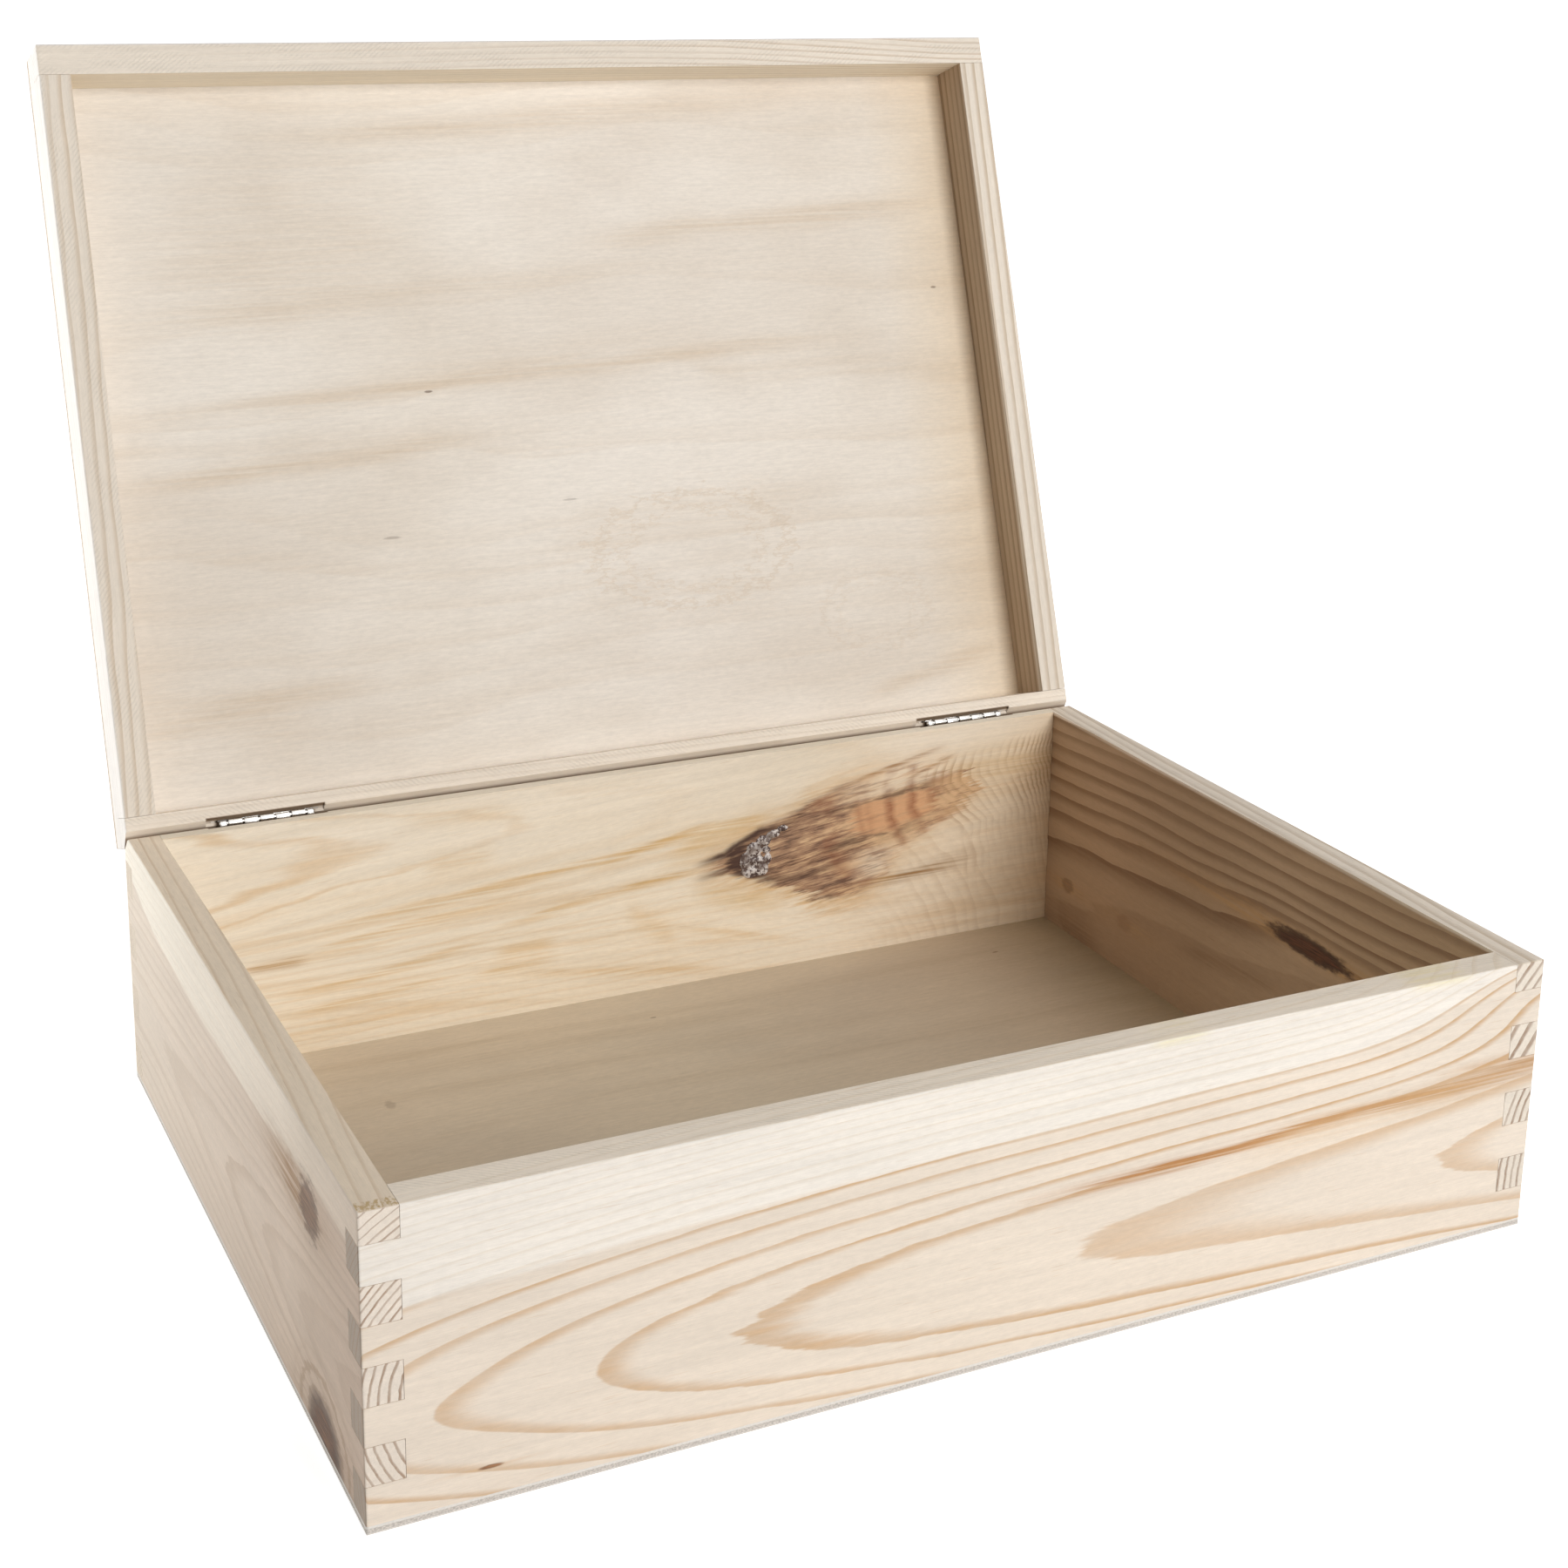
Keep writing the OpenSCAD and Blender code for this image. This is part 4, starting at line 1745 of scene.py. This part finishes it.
@dataclass
class Lid:
    """The lid: four rails under a plywood top, standing open."""

    width: float = 350
    depth: float = 260
    rim: float = 84.8
    rail: float = 18

    def build(self, shop: WoodShop) -> None:
        """Gives every rail of the lid and its top sheet their own wood.

        Args:
            shop: Has the node groups.
        """
        half = self.depth / 2 * BACK
        side = self.width / 2 * RIGHT
        low = self.rim * UP
        rails = {
            "lid_front_rail": (GrainFrame(low - half, RIGHT, UP, BACK), FRONT_RAIL_GRAIN, FRONT_RAIL_TONES),
            "lid_back_rail": (GrainFrame(low + half, RIGHT, UP, -BACK), BACK_RAIL_GRAIN, BACK_RAIL_TONES),
            "lid_left_rail": (GrainFrame(low - side, BACK, UP, RIGHT), LEFT_RAIL_GRAIN, RAIL_TONES),
            "lid_right_rail": (GrainFrame(low + side, BACK, UP, RIGHT), SHADED_RAIL_GRAIN, SHADED_RAIL_TONES),
        }
        for node, (where, grain, tones) in rails.items():
            dress(Slot.PINE, node, PineSkin(shop, f"pine_{node}", opened(where)).make(grain, tones))
        sheet = opened(GrainFrame(low + self.rail * UP, RIGHT, BACK, UP))
        skin = PlySkin(shop, "ply_lid", sheet).make(LID_TONES, LID_STREAKS, LID_SPECKS)
        dress(Slot.PLYWOOD, "lid_top_sheet", skin)


@dataclass
class Hinge:
    """A small barrel hinge whose half-moon leaves stand in saw kerfs, made once and copied to both sides.

    Attributes:
        middle: How far from the box's middle the hinge sits.
        axis_y: Where its axis lies from front to back.
        axis_z: How high its axis lies.
        barrel_length: Length of the barrel.
        barrel: Radius of the barrel.
        pin: Radius of the pin.
        play: Gap round the pin and round a leaf.
        gap: Gap between two knuckles.
        lid_knuckles: Number of the lid leaf's knuckles.
        sheet: Thickness of the leaves' sheet.
        reach: How far a leaf reaches from the axis.
        blade: Radius of the saw blade that cuts the kerfs.
        eased: How far the ends of the bars are eased.
        edge: How far the edges of the sheet are eased.
        joint: How much a rounded knuckle is shortened.
        slim: Radius of the box leaf's knuckles, as a share of the barrel's.
        plate_sides: Sides of a plate's full circle.
        bar_sides: Sides of a bar.
        crease: Angle past which an edge stays sharp.
        hole_slack: How near to the hole an edge belongs to its rim.
        rim_slack: How near to the outside an edge belongs to the outer rim.
        end_slack: How near to a bar's end an edge belongs to it.
        neck_inset: How much shorter than its knuckle a neck is.
    """

    middle: float = 130
    axis_y: float = 126
    axis_z: float = 84.65
    barrel_length: float = 31
    barrel: float = 1.2
    pin: float = 0.6
    play: float = 0.05
    gap: float = 0.2
    lid_knuckles: int = 3
    sheet: float = 0.6
    reach: float = 9.5
    blade: float = 24.5
    eased: float = 0.3
    edge: float = 0.08
    joint: float = 0.3
    slim: float = 0.8
    plate_sides: int = 160
    bar_sides: int = 48
    crease: float = math.radians(40)
    hole_slack: float = 0.05
    rim_slack: float = 0.02
    end_slack: float = 0.01
    neck_inset: float = 0.1

    def build(self, steel: Material) -> None:
        """Models both leaves and the pin, and seats a copy of each on both sides.

        Args:
            steel: Their material.
        """
        models = {
            "box_leaf": (Body.BOX, Matrix(), self.leaf(Leaf.BOX)),
            "lid_leaf": (Body.LID, swing(4), self.leaf(Leaf.LID)),
            "pin": (Body.BOX, Matrix(), self.round_bar(0, self.barrel_length, self.pin, 0)),
        }
        for side in Side:
            word = side.name.lower()
            spot = Vector((side.value * self.middle, self.axis_y, self.axis_z))
            for label, (body, turn, model) in models.items():
                piece = duplicate(model, f"hinge_{label}_{word}")
                piece.matrix_world = Matrix.Translation(spot * MM) @ turn @ model.matrix_world
                seat(piece, body, Slot.STEEL, steel, f"{word}_hinge_{label}")
        for _, _, model in models.values():
            bpy.data.meshes.remove(model.data)

    def leaf(self, leaf: Leaf) -> Object:
        """Models one leaf round the axis at the origin.

        Args:
            leaf: Which leaf, and so which way it reaches.

        Returns:
            The leaf with its knuckles.
        """
        way = leaf.value
        half = self.barrel_length / 2
        parts = [self.plate(way, half)]
        first = 0 if leaf is Leaf.BOX else 1
        radius = self.barrel * (self.slim if leaf is Leaf.BOX else 1)
        pitch = self.barrel_length / (2 * self.lid_knuckles)
        for index in range(first, 2 * self.lid_knuckles + 1, 2):
            start = max(-half, (index - self.lid_knuckles - 0.5) * pitch + self.gap / 2)
            end = min(half, (index - self.lid_knuckles + 0.5) * pitch - self.gap / 2)
            length = end - start - self.joint
            parts.append(self.round_bar((start + end) / 2, length, radius, self.pin + self.play))
            parts.append(self.neck((start + end) / 2, length, way))
        made = weld("leaf", *parts)
        bpy.ops.object.shade_smooth_by_angle(angle=self.crease)
        return made

    @property
    def top(self) -> float:
        """How far from the axis a leaf's plate begins."""
        return self.barrel + self.gap

    @property
    def across(self) -> float:
        """Where the middle plane of the leaves' sheet lies."""
        return self.sheet / 2 - self.barrel

    def plate(self, way: int, half: float) -> Object:
        """Models a leaf's half-moon plate.

        Args:
            way: 1 where it reaches up, -1 where it reaches down.
            half: Half its length.

        Returns:
            The plate.
        """
        bpy.ops.object.select_all(action="DESELECT")
        centre = -way * (self.blade - self.reach - self.play)
        bpy.ops.mesh.primitive_cylinder_add(
            vertices=self.plate_sides,
            radius=(self.blade - self.play) * MM,
            depth=self.sheet * MM,
            location=Vector((0, self.across, centre)) * MM,
            rotation=(math.pi / 2, 0, 0),
        )
        plate = bpy.context.object
        bpy.ops.object.transform_apply(location=True, rotation=True, scale=True)
        bpy.ops.object.mode_set(mode="EDIT")
        cuts = ((way * self.top * UP, -way * UP), (half * RIGHT, RIGHT), (-half * RIGHT, -RIGHT))
        for spot, normal in cuts:
            bpy.ops.mesh.select_all(action="SELECT")
            bpy.ops.mesh.bisect(plane_co=spot * MM, plane_no=normal, clear_outer=True, use_fill=True)
        bpy.ops.object.mode_set(mode="OBJECT")
        sharp = {"limit_method": "ANGLE", "angle_limit": math.radians(50)}
        apply(plate, "BEVEL", width=self.edge * MM, segments=2, **sharp)
        return plate

    def round_bar(self, middle: float, length: float, radius: float, hole: float) -> Object:
        """Models a knuckle, or a pin where there is no hole, along X.

        Args:
            middle: The middle of its length.
            length: Its length.
            radius: Its radius.
            hole: The radius of the hole through it.

        Returns:
            The bar, with eased ends.
        """
        bpy.ops.object.select_all(action="DESELECT")
        bpy.ops.mesh.primitive_cylinder_add(
            vertices=self.bar_sides,
            radius=radius * MM,
            depth=length * MM,
            location=(middle * MM, 0, 0),
            rotation=(0, math.pi / 2, 0),
        )
        bar = bpy.context.object
        bpy.ops.object.transform_apply(location=True, rotation=True, scale=True)
        bpy.ops.object.mode_set(mode="EDIT")
        if hole:
            pick(bar, "FACE", lambda face: abs(face.normal.x) > 0.9)
            bpy.ops.mesh.inset(thickness=(radius - hole) * MM, use_boundary=True)
            bpy.ops.mesh.delete(type="FACE")
            inner = (hole + self.hole_slack) * MM
            pick(bar, "EDGE", lambda edge: all(vert.co.yz.length < inner for vert in edge.verts))
            bpy.ops.mesh.bridge_edge_loops()
        outer = (radius - self.rim_slack) * MM
        near = self.end_slack * MM
        for end in ((middle - length / 2) * MM, (middle + length / 2) * MM):
            pick(
                bar,
                "EDGE",
                lambda edge: all(abs(v.co.x - end) < near and v.co.yz.length > outer for v in edge.verts),
            )
            bpy.ops.mesh.bevel(offset=self.eased * min(1, radius) * MM, segments=4, affect="EDGES")
        bpy.ops.mesh.select_all(action="SELECT")
        bpy.ops.mesh.normals_make_consistent(inside=False)
        bpy.ops.object.mode_set(mode="OBJECT")
        bpy.ops.object.shade_smooth_by_angle(angle=self.crease)
        return bar

    def neck(self, middle: float, length: float, way: int) -> Object:
        """Models the strip of sheet that joins a knuckle to its leaf.

        Args:
            middle: The middle of the knuckle's length.
            length: The knuckle's length.
            way: 1 where the leaf reaches up, -1 where it reaches down.

        Returns:
            The strip.
        """
        rise = self.top + self.sheet
        bpy.ops.object.select_all(action="DESELECT")
        bpy.ops.mesh.primitive_cube_add(size=1)
        strip = bpy.context.object
        strip.location = Vector((middle, self.across, way * rise / 2)) * MM
        strip.scale = Vector((length - self.neck_inset, self.sheet, rise)) * MM
        bpy.ops.object.transform_apply(location=True, rotation=True, scale=True)
        apply(strip, "BEVEL", width=self.edge * MM, segments=2)
        return strip


@dataclass(frozen=True)
class Lamp:
    """A soft square lamp, in metres. Level is the light on a surface that faces it at the target."""

    name: str
    place: tuple[float, float, float]
    target: tuple[float, float, float]
    size: float
    level: float


@dataclass
class Studio:
    """The floor, the soft light and the camera."""

    eye: tuple[float, float, float] = (-312.04, -626.10, 371.90)
    yaw: float = -26.015
    pitch: float = 14.573
    roll: float = 0.95
    focal: float = 2844.65
    horizon: float = 637.42
    floor_size: float = 24
    world_level: float = 0.18
    glow: tuple[float, float] = (0.7, 1)
    glow_reach: tuple[float, float] = (0.3, 0.9)
    lamps: tuple[Lamp, ...] = (
        Lamp("key_lamp", (0.55, -1.9, 1), (0, 0, 0.12), 0.9, 0.7),
        Lamp("side_lamp", (-0.72, 0.46, 0.24), (-0.175, 0.17, 0.2), 0.35, 0.9),
        Lamp("top_lamp", (0.55, -0.1, 1.6), (0, 0, 0.08), 0.8, 0.12),
    )

    def build(self) -> None:
        """Builds the floor, the world, the lamps and the camera."""
        self.add_floor()
        self.add_world()
        for lamp in self.lamps:
            self.add_lamp(lamp)
        self.add_camera()

    @staticmethod
    def seen(g: Graph) -> Term:
        """Returns 1 for what the camera, a reflection or a clear piece sees."""
        path = g.node("ShaderNodeLightPath").outputs
        seen = Term(g, path["Is Camera Ray"]).most(path["Is Glossy Ray"])
        return seen.most(path["Is Transmission Ray"])

    def add_floor(self) -> None:
        """Adds the pale floor, which shows white to the camera and keeps the shadow."""
        bpy.ops.object.select_all(action="DESELECT")
        bpy.ops.mesh.primitive_plane_add(size=self.floor_size, location=(0, 0, 0))
        floor = bpy.context.object
        floor.name = "studio_floor"
        skin = Skin("studio_floor")
        g = skin.g
        inputs = skin.shader.inputs
        g.feed(inputs["Base Color"], (0.9, 0.9, 0.9))
        g.feed(inputs["Roughness"], 1)
        g.feed(inputs["Specular IOR Level"], 0)
        g.feed(inputs["Emission Color"], (1, 1, 1))
        place = g.node("ShaderNodeTexCoord").outputs["Object"]
        away = g.node("ShaderNodeVectorMath", place, operation="LENGTH").outputs["Value"]
        glow = Term(g, away).step(*self.glow_reach, *self.glow)
        g.feed(inputs["Emission Strength"], self.seen(g) * glow)
        floor.data.materials.append(skin.material)

    def add_world(self) -> None:
        """Lights the object evenly, with a white world where the camera looks past it."""
        world = bpy.data.worlds.new("studio")
        bpy.context.scene.world = world
        world.use_nodes = True
        g = Graph(world.node_tree)
        back = world.node_tree.nodes["Background"].inputs
        g.feed(back["Color"], (1, 1, 1))
        g.feed(back["Strength"], self.seen(g).step(0, 1, self.world_level, 1))

    def add_lamp(self, lamp: Lamp) -> None:
        """Adds a lamp.

        Args:
            lamp: Its place, target, size and level.
        """
        data = bpy.data.lights.new(lamp.name, "AREA")
        data.shape = "SQUARE"
        data.size = lamp.size
        way = Vector(lamp.target) - Vector(lamp.place)
        data.energy = lamp.level * math.pi**2 * way.length_squared
        made = bpy.data.objects.new(lamp.name, data)
        bpy.context.scene.collection.objects.link(made)
        made.location = lamp.place
        made.rotation_euler = way.to_track_quat("-Z", "Y").to_euler()

    def add_camera(self) -> None:
        """Adds the camera, fitted to the photographed corners."""
        data = bpy.data.cameras.new("photo_camera")
        camera = bpy.data.objects.new("photo_camera", data)
        bpy.context.scene.collection.objects.link(camera)
        data.sensor_width = 36
        data.lens = self.focal / PHOTO_SIDE * data.sensor_width
        data.shift_y = (self.horizon - PHOTO_SIDE / 2) / PHOTO_SIDE
        data.clip_start = 0.01
        turn = Matrix.Translation(Vector(self.eye) * MM)
        for angle, axis in ((self.yaw, "Z"), (90 - self.pitch, "X"), (self.roll, "Z")):
            turn = turn @ Matrix.Rotation(math.radians(angle), 4, axis)
        camera.matrix_world = turn
        bpy.context.scene.camera = camera


def main() -> None:
    logging.basicConfig(level=logging.INFO, format="%(message)s")
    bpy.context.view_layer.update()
    bpy.context.scene.view_settings.view_transform = "Standard"
    shop = WoodShop()
    LowerBox().build(shop)
    Lid().build(shop)
    Hinge().build(NickelSkin("hinge_nickel").make(NickelTones()))
    Studio().build()


if __name__ == "__main__":
    main()
